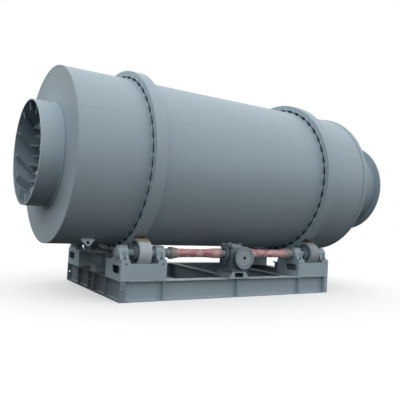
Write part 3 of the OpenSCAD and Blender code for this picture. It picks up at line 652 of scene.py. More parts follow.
for node, share, rough, shade, freckle, wear in (
        ("front_near_roller", 0.80, 0.45, 0.08, 0.2, tread_wear(-1, NEAR_TREAD, 0.08, 0.128)),
        ("rear_near_roller", 0.85, 0.50, 0.10, 0.3, tread_wear(-1, WORN_TREAD, 0.4, 0.150)),
        ("front_far_roller", 0.80, 0.50, 0.08, 0.3, tread_wear(1, FAR_TREAD, 0.6, 0.13)),
        ("rear_far_roller", 0.80, 0.50, 0.08, 0.3, tread_wear(1, FAR_TREAD, 0.6, 0.13))):
    dress(enamel(f"{node}_enamel", toned(share), rough=rough, shade=shade, grime=0.2, freckle=freckle,
                 grain=0.3, mask=wear), node)
for body, label, end, side in (("drive_line", "front_near", -1, -1), ("drive_line", "rear_near", 1, -1),
                               ("front_idler", "front_far", -1, 1), ("rear_idler", "rear_far", 1, 1)):
    pins = bmesh.new()
    for out in (-1, 1):
        face = end * TYRE_X + out * ROLLER_SIDE
        centre = (face, side * ROLLER_Y, ROLLER_Z)
        hollow(pins, lie((face - out * 0.002, centre[1], centre[2]), (out, 0, 0)),
               [(0.0450, 0), (0.0585, 0), (0.0585, 0.009), (0.0565, 0.011), (0.0450, 0.011)], 40)
        for point in circle(centre, "X", KEEPER_SCREW_R, 3, 50):
            screw(pins, point, (out, 0, 0), 0.006)
    fit(f"{label}_roller_keeper_rings", pins, zinc, body)

# ---- gearbox bracket -----------------------------------------------------
# A low bracket of plate on the frame's middle, its ends leaning in under the gearbox, its front and
# back closed at the corners by gussets that leave a window between them.
WINDOW_X = 0.070
SEAM_Z = 0.252
SILL_Z = 0.262


def shaded_bracket_ends(place, fine, painted, roughness):
    """Painted shade: the bracket's leaning end plates are painted darker."""
    end = abs(place.node("NewGeometry", out="Normal").part("X")) > 0.3
    return painted.under(end * (0.35 + 0.4 * fine), PAINTED_SHADE_DARK), roughness


bracket_enamel = enamel("bracket_enamel", ENAMEL, shade=0.07, grime=0.3, freckle=0.15, mask=shaded_bracket_ends)
dress(bracket_enamel, "gearbox_bracket")
low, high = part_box("gearbox_bracket")
bracket_welds = bmesh.new()
for x0, x1 in ((low[0] + 0.006, -WINDOW_X), (WINDOW_X, high[0] - 0.006)):
    bead(bracket_welds, [(x0, low[1] + 0.002, SILL_Z), (x1, low[1] + 0.002, SILL_Z)], JOINT_BEAD)
for x in (low[0], high[0]):
    bead(bracket_welds, [(x, low[1], SEAM_Z), (x, high[1], SEAM_Z)], JOINT_BEAD)
bead(bracket_welds, [(low[0], low[1], SEAM_Z), (high[0], low[1], SEAM_Z)], JOINT_BEAD)
fit("gearbox_bracket_welds", bracket_welds, bracket_enamel, "base", smooth=True)

# ---- gearbox -------------------------------------------------------------
# A cast reducer housing in a darker, rougher coat. Round covers close its output bearings; ribs
# stiffen its cheeks, the joint face is bolted round its edge, and an eye stands on its top.
GEAR_PAINT = (0.130, 0.178, 0.225)
# The top of the housing is painted paler than the rest, as painted light.
GEAR_TOP_LIGHT = (0.390, 0.460, 0.520)
GEAR_COVER_R = 0.093
GEAR_COVER_OUT = 0.024
GEAR_TOP = 0.6995
GEAR_HALF_X = 0.118
GEAR_HALF_Y = 0.132
BOSS_DROP = 0.123
BOSS_R = 0.0545
BOSS_OUT = 0.132
COVER_RIM = (0.44, 0.52, 0.57)
GEAR_FIN = (0.215, 0.290, 0.300)
PRIMER = (0.34, 0.40, 0.44)
# The cheeks are painted darker towards the bottom.
CHEEK_LOW_DARK = (0.055, 0.060, 0.062)
OLD_OIL = (0.028, 0.036, 0.046)
EAR = 0.030
EAR_HOLE = 0.013
EAR_T = 0.028
EAR_STEP = 0.044
GEAR_SCREW = 0.010
EYE_R = 0.016
EYE_BAR = 0.0048


def squared(a):
    """The reach of a square with cut corners at an angle."""
    return min(1 / max(abs(cos(a)), abs(sin(a))), 1.22)


def brick(shape, size, centre=(0.0, 0.0, 0.0)):
    """A plain block, with its corners for further moves."""
    corners = bmesh.ops.create_cube(shape, size=1.0)["verts"]
    bmesh.ops.scale(shape, vec=size, verts=corners)
    bmesh.ops.translate(shape, vec=centre, verts=corners)
    return corners


def cast_marks_and_top_light(place, fine, painted, roughness):
    """The cheeks are painted darker and a little glossier towards the bottom, knocks have bared grey primer in
    places, and the top of the housing is painted paler as painted light.
    """
    height = place.part("Z")
    low_part = (height + 0.1 * fine).fall(0.30, 0.58)
    low_darkened = painted.under(low_part * 0.35, CHEEK_LOW_DARK)
    bared_and_shaded = place.clouds(34.0, 5.0, 0.7).rise(0.62, 0.67)
    chipped = low_darkened.under(bared_and_shaded * 0.6, PRIMER)
    dust_and_top_light = (height + 0.02 * (fine - 0.5)).rise(0.640, 0.680)
    topped = chipped.under(dust_and_top_light * 0.75, GEAR_TOP_LIGHT)
    from_boss = off_axis(place, (0.0, -ROLLER_Y, ROLLER_Z - BOSS_DROP))
    from_cover = off_axis(place, (0.0, -ROLLER_Y, ROLLER_Z))
    round_boss = (from_boss > BOSS_R) * (from_boss < 0.066)
    round_cover = (from_cover > GEAR_COVER_R) * (from_cover < 0.103)
    return topped.under(round_boss.most(round_cover) * 0.8, OLD_OIL), roughness - low_part * 0.08


gear_enamel = enamel("gear_enamel", GEAR_PAINT, rough=0.42, shade=0.14, grime=0.12, freckle=0.08, grain=0.7,
                     level=0.5, mask=cast_marks_and_top_light)
cover_enamel = enamel("gear_cover_enamel", COVER_RIM, rough=0.40, shade=0.1, grain=0.3, level=0.5)
fin_enamel = enamel("gear_fin_enamel", GEAR_FIN, rough=0.42, shade=0.1, grain=0.4)
dress(gear_enamel, "gearbox_housing")
cheek_y = -ROLLER_Y - GEAR_HALF_Y
gear_bits = bmesh.new()
gear_dark = bmesh.new()
gear_fins = bmesh.new()
for out in (-1, 1):
    face = out * (GEAR_HALF_X + GEAR_COVER_OUT)
    place = lie((face - out * 0.002, -ROLLER_Y, ROLLER_Z), (out, 0, 0))
    hollow(gear_bits, place, [(0.079, 0), (GEAR_COVER_R - 0.001, 0), (GEAR_COVER_R - 0.001, 0.003),
                              (0.089, 0.006), (0.082, 0.006), (0.079, 0.004)], 64)
    hollow(gear_bits, place, [(0.0308, 0), (0.046, 0), (0.046, 0.006), (0.042, 0.010), (0.0335, 0.010),
                              (0.0308, 0.007)])
    for point in circle((face, -ROLLER_Y, ROLLER_Z), "X", 0.066, 6):
        screw(gear_dark, point, (out, 0, 0), GEAR_SCREW)
    boss = (out * BOSS_OUT, -ROLLER_Y, ROLLER_Z - BOSS_DROP)
    turned(gear_dark, lie(boss, (out, 0, 0)), [(0.036, 0), (0.036, 0.004), (0.031, 0.006), (0, 0.006)], 40)
    ear_z = GEAR_TOP - EAR if out < 0 else GEAR_TOP - EAR_STEP - EAR
    for hand in (-1, 1):
        ear_y = -ROLLER_Y + hand * (GEAR_HALF_Y - EAR)
        hollow(gear_dark, lie((out * GEAR_HALF_X, ear_y, ear_z), (-out, 0, 0)),
               [(EAR_HOLE, 0.002), (EAR_HOLE + 0.002, 0), (EAR, 0), (EAR, EAR_T), (EAR_HOLE, EAR_T)], 48,
               squared)
    for point in circle(boss, "X", 0.045, 4, 45):
        screw(gear_dark, point, (out, 0, 0), 0.006)
fit("gearbox_cover_rims", gear_bits, cover_enamel, "base")

for k in range(3):
    brick(gear_dark, (0.092 - 0.012 * k, 0.026, 0.011), (-0.068 + 0.004 * k, cheek_y, 0.420 + 0.052 * k))
for hand in (-1, 1):
    for z in (0.535, 0.560, 0.585, 0.610):
        half_w = sqrt(0.130 ** 2 - (z - ROLLER_Z) ** 2)
        brick(gear_fins, (0.020, 0.026, 0.008), (-0.119, -ROLLER_Y + hand * (half_w - 0.013), z))
fit("gearbox_cheek_fins", gear_fins, fin_enamel, "base")
for x, z in ((-0.100, 0.640), (-0.100, 0.395), (0.104, 0.380), (-0.104, 0.520)):
    screw(gear_dark, (x, cheek_y + (0.002 if z < 0.6 else 0.028), z), (0, -1, 0), GEAR_SCREW)
for x in (-0.068, -0.020, 0.030, 0.052):
    for y in (-ROLLER_Y - 0.048, -ROLLER_Y + 0.048):
        screw(gear_dark, (x, y, GEAR_TOP - 0.008), (0, 0, 1), GEAR_SCREW)
fit("gearbox_ribs_and_screws", gear_dark, gear_enamel, "base")

eye = bmesh.new()
eye_at = Vector((0.084, -ROLLER_Y - 0.046, GEAR_TOP - 0.0260))
turned(eye, lie(eye_at - Vector((0, 0, 0.003)), (0, 0, 1)),
       [(0.017, 0), (0.017, 0.005), (0.012, 0.009), (0, 0.009)], 32)
loop = []
for k in range(28):
    a = 2 * pi * k / 28
    spine = Vector((EYE_R * cos(a), 0, EYE_R * sin(a)))
    middle = eye_at + Vector((0, 0, 0.014)) + spine
    out = spine.normalized()
    ways = [out * cos(t * pi / 5) + Vector((0, 1, 0)) * sin(t * pi / 5) for t in range(10)]
    loop.append([eye.verts.new(middle + EYE_BAR * way) for way in ways])
skin(eye, loop, closed=True)
turned(eye, lie((-0.040, -ROLLER_Y + 0.02, 0.6960), (0, 0, 1)),
       [(0.012, 0), (0.012, 0.006), (0.009, 0.006), (0.009, 0.018), (0.006, 0.021), (0, 0.021)], 16)
fit("gearbox_eye_and_breather", eye, cover_enamel, "base", smooth=True)

plugs = bmesh.new()
turned(plugs, lie((-0.1175, -ROLLER_Y - 0.085, 0.470), (-1, 0, 0)),
       [(0.015, 0), (0.015, 0.006), (0.011, 0.008), (0.011, 0.004), (0, 0.004)], 28)
turned(plugs, lie((-0.1175, -ROLLER_Y + 0.085, 0.392), (-1, 0, 0)),
       [(0.012, 0), (0.012, 0.009), (0.008, 0.009), (0.008, 0.004), (0, 0.004)], 6)
for x in (-0.094, 0.094):
    for y in (cheek_y - 0.020, -ROLLER_Y + 0.152):
        stud(plugs, (x, y, 0.362), (0, 0, 1), 0.015)
fit("gearbox_plugs_and_studs", plugs, zinc, "base")

# ---- motor flange --------------------------------------------------------
# The turned adapter that the motor bolts to. Its face is bare of castings' roughness, with a shallow
# recess for the motor's spigot, four holes, and a keyway cut in its greased bore.
INPUT = (0.062, -0.958659, 0.5235)
SPIGOT_R = 0.115
BORE_R = 0.019
FLANGE_PAINT = (0.300, 0.375, 0.420)
BARE_FACE = (0.44, 0.50, 0.53)
# A painted shadow in the outer corner of the spigot recess.
RECESS_SHADOW = (0.115, 0.140, 0.165)
# Grease about the bore's edge, also laid over the bore's inside as painted shade.
GREASE = (0.035, 0.035, 0.033)
# Near-black colour of the keyway and a hole, standing in as painted shade.
KEYWAY_SHADE = (0.03, 0.03, 0.03)


def turned_face(place, fine, painted, roughness):
    """Fine turning marks round the flange's centre, grease about the bore with painted shade inside the bore, a
    rubbed recess, and a painted shadow in the recess's outer corner.
    """
    radius = off_axis(place, INPUT, (1.0, 0.0, 1.0))
    groove = (radius * 2600.0).maths("SINE")
    recess = (radius < (SPIGOT_R - 0.0002)) * (radius > (BORE_R + 0.002))
    rubbed = painted.under(recess * (0.42 + 0.1 * groove + 0.25 * fine), BARE_FACE)
    grease = (radius - 0.002 * fine).fall(BORE_R + 0.0005, BORE_R + 0.0035)
    corner = (radius > (SPIGOT_R - 0.0045)) * (radius < (SPIGOT_R + 0.0005))
    recess_shaded = rubbed.under(corner * 0.7, RECESS_SHADOW)
    return recess_shaded.under(grease * 0.8, GREASE), roughness - 0.1 * recess


dress(enamel("motor_flange_enamel", FLANGE_PAINT, rough=0.48, shade=0.06, grime=0.2, mask=turned_face),
      "motor_flange")
flange_low, flange_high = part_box("motor_flange")
flange_front = flange_low[1]
mid_x, mid_z = (flange_low[0] + flange_high[0]) / 2, (flange_low[2] + flange_high[2]) / 2
# The keyway and a hole below the bore are thin near-black pieces, painted shade for the cut and the hole.
keyway = bmesh.new()
brick(keyway, (0.010, 0.004, 0.0045), (mid_x, flange_front + 0.0065, mid_z + 0.0205))
turned(keyway, lie((mid_x, flange_front + 0.0048, mid_z - 0.070), (0, -1, 0)),
       [(0.006, 0), (0.006, 0.0006), (0, 0.0006)], 16)
keyway_shade_black = fastened("keyway_and_hole_shade", KEYWAY_SHADE, 0.35, 0.0, 0.05)
fit("motor_flange_keyway", keyway, keyway_shade_black, "base")
flange_screws = bmesh.new()
for point in circle((mid_x, flange_high[1], mid_z), "Y", 0.124, 8, 22.5):
    screw(flange_screws, point, (0, 1, 0), 0.009)
fit("motor_flange_screws", flange_screws, zinc, "base")

# ---- output shaft and cardan shafts --------------------------------------
# Bright turned stubs stand out of the gearbox. The cardan shafts are painted tube with forged forks,
# bolted to hubs on the roller shafts; each hub is held by a key and a set screw.
HUB_R = 0.055
HUB_L = 0.062
HUB_GAP = 0.022
STAND_HALF_X = 0.2435
HUB_X = TYRE_X - STAND_HALF_X - BEARING_HALF - CAP_OUT - HUB_GAP
STUB_X = 0.202
STUB_STEEL = (0.62, 0.70, 0.76)
SHAFT_PAINT = (0.30, 0.345, 0.37)

dress(fastened("output_shaft_steel", STUB_STEEL, 0.34, 0.3, 0.04), "gearbox_output_shaft")
dress(enamel("shaft_enamel", SHAFT_PAINT, rough=0.45, shade=0.08, grime=0.2, freckle=0.15, grain=0.3),
      "front_cardan_shaft", "rear_cardan_shaft")
hub_bits = bmesh.new()
for end in (-1, 1):
    near = end * HUB_X
    mid = near - end * HUB_L / 2
    for a in (100, 220, 340):
        out = Vector((0, cos(radians(a)), sin(radians(a))))
        turned(hub_bits, lie(Vector((mid, -ROLLER_Y, ROLLER_Z)) + out * (HUB_R - 0.001), out),
               [(0.0075, 0), (0.0075, 0.0035), (0.0045, 0.0035), (0.0045, 0.0015), (0, 0.0015)], 14)
    turned(hub_bits, lie((near - end * 0.004, -ROLLER_Y, ROLLER_Z), (-end, 0, 0)),
           [(0.0552, 0), (0.0575, 0.002), (0.0575, 0.007), (0.0552, 0.009)], 48)
fit("coupling_hub_screws", hub_bits, zinc, "drive_line")

# ---- film wraps ----------------------------------------------------------
# Pink packing film, wound by hand round each cardan shaft to keep spray off it and tied in at the
# tube. It is loose and crumpled, and flares where it was cut over the coupling at either end.
WRAP_START = HUB_X - HUB_L - 0.002
WRAP_END = STUB_X + 0.020
WRAP_L = WRAP_START - WRAP_END
FILM_PINK = (0.720, 0.330, 0.335)
FILM_DARK = (0.360, 0.180, 0.175)
FILM_PALE = (0.820, 0.560, 0.540)
FILM_GREEN = (0.265, 0.290, 0.265)
FILM_TORN = (0.120, 0.060, 0.062)


def film(name):
    """Thin packing film in layers: glossy, creased, pink in the folds and paler where it is taut."""
    finish, shader, place = new_finish(name)
    long_place = place.stretched((0.55, 1.0, 1.0))
    blotch = long_place.clouds(11.0, 5.0, 0.55, warp=1.2)
    crease = place.node("TexNoise", {"noise_type": "RIDGED_MULTIFRACTAL"}, {
        "Vector": long_place, "Scale": 22.0, "Detail": 4.0, "Roughness": 0.55, "Distortion": 0.6})
    fold = long_place.clouds(55.0, 4.0, warp=2.0)
    tint = blotch.ramp((0.34, FILM_DARK), (0.44, FILM_PINK), (0.62, FILM_PALE))
    grey = (fold * 0.45 + blotch * 0.55).rise(0.56, 0.66)
    green = tint.under(grey * 0.35, FILM_GREEN)
    slit = place.stretched((9.0, 36.0, 36.0)).clouds(1.0, 2.0).rise(0.68, 0.71)
    torn = green.under(slit * 0.85, FILM_TORN)
    share = (abs(place.part("X")) - WRAP_END) / WRAP_L
    ends = share.ramp((0.0, 0.9), (0.06, 0.0), (0.84, 0.0), (0.93, 1.0))
    torn.under(ends * 0.8, FILM_GREEN).feed(shader, "Base Color")
    (0.24 + 0.3 * fold).feed(shader, "Roughness")
    place.node("Bump", inputs={"Height": crease * 0.6 + fold, "Strength": 0.8, "Distance": 0.006}).feed(
        shader, "Normal")
    shader.inputs["Specular IOR Level"].default_value = 0.45
    shader.inputs["Coat Weight"].default_value = 0.25
    shader.inputs["Coat Roughness"].default_value = 0.2
    return finish


film_finish = film("crumpled_film")
# The film's radius from the coupling to the gearbox, at shares of its length.
SLACK = [(0.0, 0.0765), (0.045, 0.0785), (0.075, 0.071), (0.13, 0.0635), (0.19, 0.0575), (0.26, 0.0545),
         (0.36, 0.0530), (0.50, 0.0525), (0.64, 0.0530), (0.74, 0.0545), (0.795, 0.0575), (0.83, 0.0635),
         (0.90, 0.0650), (0.96, 0.0640), (1.0, 0.0650)]


def slack_radius(share):
    """The wrap's mean radius at a share of its length."""
    for (a, ra), (b, rb) in zip(SLACK, SLACK[1:]):
        if share <= b:
            t = (share - a) / (b - a)
            t = t * t * (3 - 2 * t)
            return ra + (rb - ra) * t
    return SLACK[-1][1]


def crumple(share, angle, seed):
    """How far a point of the film stands off: long twisted folds, creases and a few pinched ties."""
    twist = angle + 5.0 * share
    folds = noise.ridged_multi_fractal(
        Vector((share * 9.0 + seed, 1.7 * cos(twist), 1.7 * sin(twist))), 0.9, 2.1, 4, 0.9, 2.0)
    small = noise.turbulence(Vector((share * 30.0, 3.5 * cos(angle) + seed, 3.5 * sin(angle))), 3, True)
    return 0.0046 * (folds - 0.9) + 0.0042 * (small - 0.4)


for end, label in ((-1, "front"), (1, "rear")):
    wrap = bmesh.new()
    stations, around = 230, 72
    outer, inner = [], []
    for i in range(stations + 1):
        share = i / stations
        x = end * (WRAP_START - share * WRAP_L)
        mean = slack_radius(share)
        tie = 0.0022 * sum(exp(-((share - t) / 0.008) ** 2) for t in (0.20, 0.37, 0.56, 0.73))
        ring_out, ring_in = [], []
        for k in range(around):
            a = 2 * pi * k / around
            lift = crumple(share, a, 3.7 if end < 0 else 11.2)
            loose = 0.4 if share < 0.06 or share > 0.8 else 1.0
            r = max(mean + loose * lift - tie, mean - 0.0022)
            direction = Vector((0, cos(a), sin(a)))
            at_cut = i in (0, stations)
            sway = 0.004 * noise.noise(Vector((k * 0.35, 5.0, 2.0 + end))) if at_cut else 0.0
            centre = Vector((x + end * sway * (-1 if i else 0.0), -ROLLER_Y, ROLLER_Z))
            ring_out.append(wrap.verts.new(centre + direction * r))
            ring_in.append(wrap.verts.new(centre + direction * (r - 0.0009)))
        outer.append(ring_out)
        inner.append(ring_in)
    skin(wrap, outer)
    skin(wrap, inner[::-1])
    for cut in (0, stations):
        skin(wrap, [outer[cut], inner[cut]])
    piece = fit(f"{label}_film_wrap", wrap, film_finish, "drive_line", smooth=True)
    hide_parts(f"{label}_cardan_wrap")

# ---- thrust rollers ------------------------------------------------------
# Two flat rollers on upright spindles bear on the riding rings' sides and keep the drum from walking.
# Each stands on a boxed base with an overhung plate; four studs hold it and gussets stiffen it.
AXIS_Z = 1.702029
RING_R = 1.205
RING_HALF = 0.075
RUN_GAP = 0.0003
THRUST_R = 0.135
THRUST_X = TYRE_X + RING_HALF + RUN_GAP + THRUST_R
THRUST_Z = AXIS_Z - RING_R + 0.014
PLATE_TOP = 0.348
PLATE_UNDER = 0.333
BOX_X = 0.066
BOX_Y = 0.095
SPINDLE_FOOT = 0.0595
EDGE_BRIGHT = (0.34, 0.38, 0.38)
EDGE_RUSTY = (0.25, 0.25, 0.24)


def thrust_wear(hand):
    """A bright rubbed band round the roller's edge with rust creeping in from its corners."""
    def wear(place, fine, painted, roughness):
        radius = off_axis(place, (hand * THRUST_X, 0.0, 0.0), (1.0, 1.0, 0.0))
        edge = radius > (THRUST_R - 0.0035)
        bloom = place.clouds(24.0, 5.0, 0.65)
        metal = bloom.ramp((0.42, EDGE_BRIGHT), (0.70, EDGE_RUSTY))
        return painted.under(edge * 0.9, metal), roughness - edge * 0.1
    return wear


# The thrust stands and rollers stand in the drum's shade and are painted darker for it, as painted shade.
thrust_stand_shaded_enamel = enamel("thrust_stand_shaded_enamel", toned(0.55), rough=0.55, shade=0.08, grime=0.2, freckle=0.2)
for end, label in ((-1, "front"), (1, "rear")):
    thrust_shaded_enamel = enamel(f"{label}_thrust_shaded_enamel", toned(0.45), shade=0.08, freckle=0.2, grain=0.3,
                           mask=thrust_wear(end))
    dress(thrust_stand_shaded_enamel, f"{label}_thrust_stand")
    dress(thrust_shaded_enamel, f"{label}_thrust_roller")
    x = end * THRUST_X
    welds = bmesh.new()
    for z, leg in ((SEAM_Z, RIB_BEAD), (PLATE_UNDER, JOINT_BEAD)):
        bead(welds, oblong(x - BOX_X, -BOX_Y, x + BOX_X, BOX_Y, z), leg, closed=True)
    bead(welds, circle((x, 0.0, PLATE_TOP + 0.002), "Z", SPINDLE_FOOT, 60), JOINT_BEAD, closed=True)
    for a in range(0, 360, 90):
        c, s = cos(radians(a)), sin(radians(a))
        reach = (0.093 if a % 180 == 0 else 0.115) - 0.008
        for hand in (-1, 1):
            off = Vector((-s, c, 0)) * 0.0052 * hand
            bead(welds, [Vector((x + c * 0.060, s * 0.060, PLATE_TOP + 0.001)) + off,
                         Vector((x + c * reach, s * reach, PLATE_TOP + 0.001)) + off], 0.003)
    fit(f"{label}_thrust_stand_welds", welds, thrust_stand_shaded_enamel, "base", smooth=True)
    bits = bmesh.new()
    for bx in (-1, 1):
        for by in (-1, 1):
            stud(bits, (x + bx * 0.079, by * 0.097, PLATE_TOP), (0, 0, 1), 0.011)
    for point in circle((x, 0.0, THRUST_Z - 0.035), "Z", 0.066, 4, 45):
        screw(bits, point, (0, 0, 1), 0.004)
    fit(f"{label}_thrust_stand_studs", bits, zinc, "base")
    cap = bmesh.new()
    top = THRUST_Z + 0.031
    turned(cap, lie((x, 0, top - 0.001), (0, 0, 1)),
           [(0.040, 0), (0.040, 0.003), (0.037, 0.0045), (0.012, 0.0045), (0.010, 0.003), (0, 0.003)], 40)
    for point in circle((x, 0.0, top + 0.0033), "Z", 0.028, 4, 20):
        screw(cap, point, (0, 0, 1), 0.0055)
    fit(f"{label}_thrust_roller_cap", cap, thrust_shaded_enamel, f"{label}_thrust")

# ---- drum ----------------------------------------------------------------
# Three rolled courses of 12 mm plate, butt-welded end to end and closed by flat ring plates. It is
# sprayed in one even coat of satin enamel; the ring seams and the long seams show as low beads.
DRUM_AXIS = (0.0, 0.0, AXIS_Z)
DRUM_R = 1.100
SHELL_0 = -2.3555
SHELL_1 = 2.2755
COURSE = (SHELL_1 - SHELL_0) / 3
TUBE_R = 0.646
END_STEP = 0.012
SEAM_SINK = 0.0022
SEAM_BEAD = 0.0032
LONG_STEP = 0.012
# Dark colour of painted shade under the riding rings, on the rings' bore and on the pads.
UNDER_RING_SHADE = (0.032, 0.058, 0.080)
ROUND_RUNS = (7.0, 0.9, 0.9)


def shaded_seat(place, fine, painted, roughness):
    """Painted shade: under the riding rings the shell is painted dark."""
    under = abs(abs(place.part("X")) - TYRE_X) < (RING_HALF - 0.001)
    return painted.under(under * 0.9, UNDER_RING_SHADE), roughness


drum_enamel = enamel("drum_enamel", ENAMEL, rough=0.44, shade=0.035, grime=0.12, freckle=0.04,
                     streaks=ROUND_RUNS, mask=shaded_seat)
dress(drum_enamel, "drum_shell_front", "drum_shell_middle", "drum_shell_rear", "rim_band")
dress(enamel("end_plate_enamel", ENAMEL, shade=0.045, freckle=0.06, streaks=(3.0, 3.0, 0.6)),
      "inlet_end_plate", "outlet_end_plate")
dress(enamel("lug_enamel", toned(1.45), rough=0.45, grime=0.12), "lifting_lug")


def hoop(shape, x, radius, leg):
    """A weld right round the drum's axis."""
    bead(shape, circle((x, 0.0, AXIS_Z), "X", radius, 240), leg, LONG_STEP, closed=True)


seams = bmesh.new()
seam_r = DRUM_R - SEAM_SINK
for k in (1, 2):
    hoop(seams, SHELL_0 + k * COURSE, seam_r, SEAM_BEAD)
for k, a in enumerate((64, 118, 71)):
    y, z = -seam_r * sin(radians(a)), AXIS_Z + seam_r * cos(radians(a))
    bead(seams, [(SHELL_0 + k * COURSE + 0.01, y, z), (SHELL_0 + (k + 1) * COURSE - 0.01, y, z)], SEAM_BEAD,
         LONG_STEP)
hoop(seams, SHELL_0 + 0.0005, DRUM_R - 0.012, 0.0035)
hoop(seams, SHELL_0 - END_STEP, TUBE_R + 0.0295, 0.004)
hoop(seams, SHELL_1 - 0.0605, DRUM_R + 0.002, 0.0055)
hoop(seams, SHELL_1 + END_STEP, TUBE_R + 0.002, 0.005)
fit("drum_seams", seams, drum_enamel, "drum", smooth=True)

tube_root = bmesh.new()
hoop(tube_root, SHELL_0 - END_STEP - 0.0005, TUBE_R + 0.002, 0.005)
# The weld at the tube's root is painted lighter than the plate, as a painted highlight.
root_weld_highlight_enamel = enamel("tube_root_enamel", toned(1.3), rough=0.45, grime=0.1)
fit("feed_tube_root_weld", tube_root, root_weld_highlight_enamel, "drum", smooth=True)

lug_low, lug_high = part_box("lifting_lug")
lug_a = radians(23.6)
foot_r = DRUM_R + 0.002
lug_side = Vector((0, cos(lug_a), -sin(lug_a))) * 0.0105
lug_mid = Vector(((lug_low[0] + lug_high[0]) / 2, -foot_r * sin(lug_a), AXIS_Z - foot_r * cos(lug_a)))
lug_run = Vector(((lug_high[0] - lug_low[0]) / 2, 0, 0))
lug_weld = bmesh.new()
bead(lug_weld, [lug_mid + lug_side - lug_run, lug_mid + lug_side + lug_run, lug_mid - lug_side + lug_run,
                lug_mid - lug_side - lug_run], 0.005, closed=True)
fit("lifting_lug_weld", lug_weld, drum_enamel, "drum", smooth=True)

# ---- inner tube, vanes and lifters ---------------------------------------
# The feed tube is rolled from the same plate and runs through the drum. Slanted vanes throw the sand
# inward, straight lifters behind them drop it through the gas; they are stitched on with short welds.
MOUTH_X = SHELL_0 - 0.270
TUBE_IN = TUBE_R - 0.012
VANES = 12
LIFTERS = 24
VANE_START = MOUTH_X + 0.018
VANE_L = 0.218
VANE_LEAN = radians(48)
VANE_TURN = radians(-12.7)
LIFTER_IN_R = TUBE_IN - 0.150
FLIGHT_HALF = 0.0055
LIFTER_START = 0.150
LIFTER_STAGGER = 0.045
LIFTER_NOSE = 0.110
TUBE_PAINT = (0.470, 0.585, 0.655)
FLIGHT_PAINT = (0.36, 0.48, 0.58)
# The lifters are painted lighter than the vanes, as painted light falling on them through the mouth.
LIFTER_LIT_PAINT = (0.56, 0.68, 0.77)
# A pale colour painted on cut edges as a painted highlight.
EDGE_HIGHLIGHT = (0.720, 0.790, 0.830)
# Painted shade under the tube's belly outside.
TUBE_BELLY_SHADE = (0.150, 0.155, 0.165)
# Colours of painted shade inside the tube, darkest low down.
INNER_LOW_SHADE = (0.120, 0.155, 0.180)
INNER_SHADE_DARK = (0.100, 0.150, 0.200)
INNER_SHADE_PALE = (0.170, 0.245, 0.315)


def tube_inner_shade(place, fine, painted, roughness):
    """Painted shade inside the tube: the coat is painted darker and bluer deeper in, blotched by noise, darker
    still low down, and rougher.
    """
    inward = ((place.part("X") - MOUTH_X - 0.2) * 0.45).rise(0.0, 1.0)
    inside = off_axis(place, DRUM_AXIS) < (TUBE_R - 0.004)
    scale = place.clouds(5.0, 6.0, 0.65)
    bared_and_shaded = scale.ramp((0.35, INNER_SHADE_DARK), (0.7, INNER_SHADE_PALE))
    inner_shaded = painted.under(inside * (0.30 + 0.6 * inward), bared_and_shaded)
    low = place.part("Z") - AXIS_Z
    low_shaded = ((0.0 - low) - 0.25 + 0.1 * scale).rise(0.0, 0.5)
    return inner_shaded.under(low_shaded * inside * 0.75, INNER_LOW_SHADE), roughness + inside * 0.12


def tube_shade_and_edge_highlight(place, fine, painted, roughness):
    """The tube's painted shade inside, a painted highlight on its cut front edge, and painted shade under its
    belly outside.
    """
    inner_shaded, rough = tube_inner_shade(place, fine, painted, roughness)
    belly = (AXIS_Z - place.part("Z") + 0.06 * (fine - 0.5)).rise(0.0, 0.55)
    outside = off_axis(place, DRUM_AXIS) > (TUBE_R - 0.004)
    belly_shaded = inner_shaded.under(belly * outside * 0.55, TUBE_BELLY_SHADE)
    return belly_shaded.under((place.part("X") < (MOUTH_X + 0.003)) * 0.85, EDGE_HIGHLIGHT), rough


def vane_shade_and_edge_highlight(place, fine, painted, roughness):
    """The vanes' painted shade, with a painted highlight on their front edges."""
    inner_shaded, rough = tube_inner_shade(place, fine, painted, roughness)
    return inner_shaded.under((place.part("X") < (VANE_START + 0.0015)) * 0.75, EDGE_HIGHLIGHT), rough


def lifter_edge_highlight(place, fine, painted, roughness):
    """Painted highlight on the lifters' inner edges."""
    return painted.under((off_axis(place, DRUM_AXIS) < (LIFTER_IN_R + 0.004)) * 0.9, EDGE_HIGHLIGHT), roughness


flight_enamel = enamel("flight_enamel", FLIGHT_PAINT, rough=0.48, shade=0.08, freckle=0.15, mask=vane_shade_and_edge_highlight)
dress(flight_enamel, "guide_vanes")
dress(enamel("tube_enamel", TUBE_PAINT, rough=0.46, shade=0.045, freckle=0.08, streaks=ROUND_RUNS,
             mask=tube_shade_and_edge_highlight), "inner_tube")
dress(enamel("lifter_lit_enamel", LIFTER_LIT_PAINT, rough=0.45, shade=0.08, freckle=0.15, mask=lifter_edge_highlight), "lifters")
tube_welds = bmesh.new()
mid_x = VANE_START + VANE_L / 2
for i in range(VANES):
    turn_i = Matrix.Rotation(VANE_TURN + 2 * pi * i / VANES, 4, "X")
    for part in (-0.8, -0.25, 0.3):
        path = []
        for k in range(7):
            along = (part + 0.09 * k) * VANE_L / 2
            y = along * tan(VANE_LEAN) - FLIGHT_HALF / cos(VANE_LEAN) * 0.7
            spot = turn_i @ Vector((0, y, sqrt(TUBE_IN ** 2 - y * y) - 0.002))
            path.append((mid_x + along, spot.y, AXIS_Z + spot.z))
        bead(tube_welds, path, 0.0045)
for i in range(LIFTERS):
    a = 2 * pi * i / LIFTERS + radians(1)
    x0 = MOUTH_X + LIFTER_START + (LIFTER_STAGGER if i % 2 == 0 else 0.0) + LIFTER_NOSE
    for k in range(7):
        for y in (-FLIGHT_HALF, FLIGHT_HALF):
            z = sqrt(TUBE_IN ** 2 - y * y) - 0.001
            y2, z2 = y * cos(a) - z * sin(a), y * sin(a) + z * cos(a)
            bead(tube_welds, [(x0 + 0.14 * k, y2, AXIS_Z + z2), (x0 + 0.14 * k + 0.06, y2, AXIS_Z + z2)],
                 0.0042)
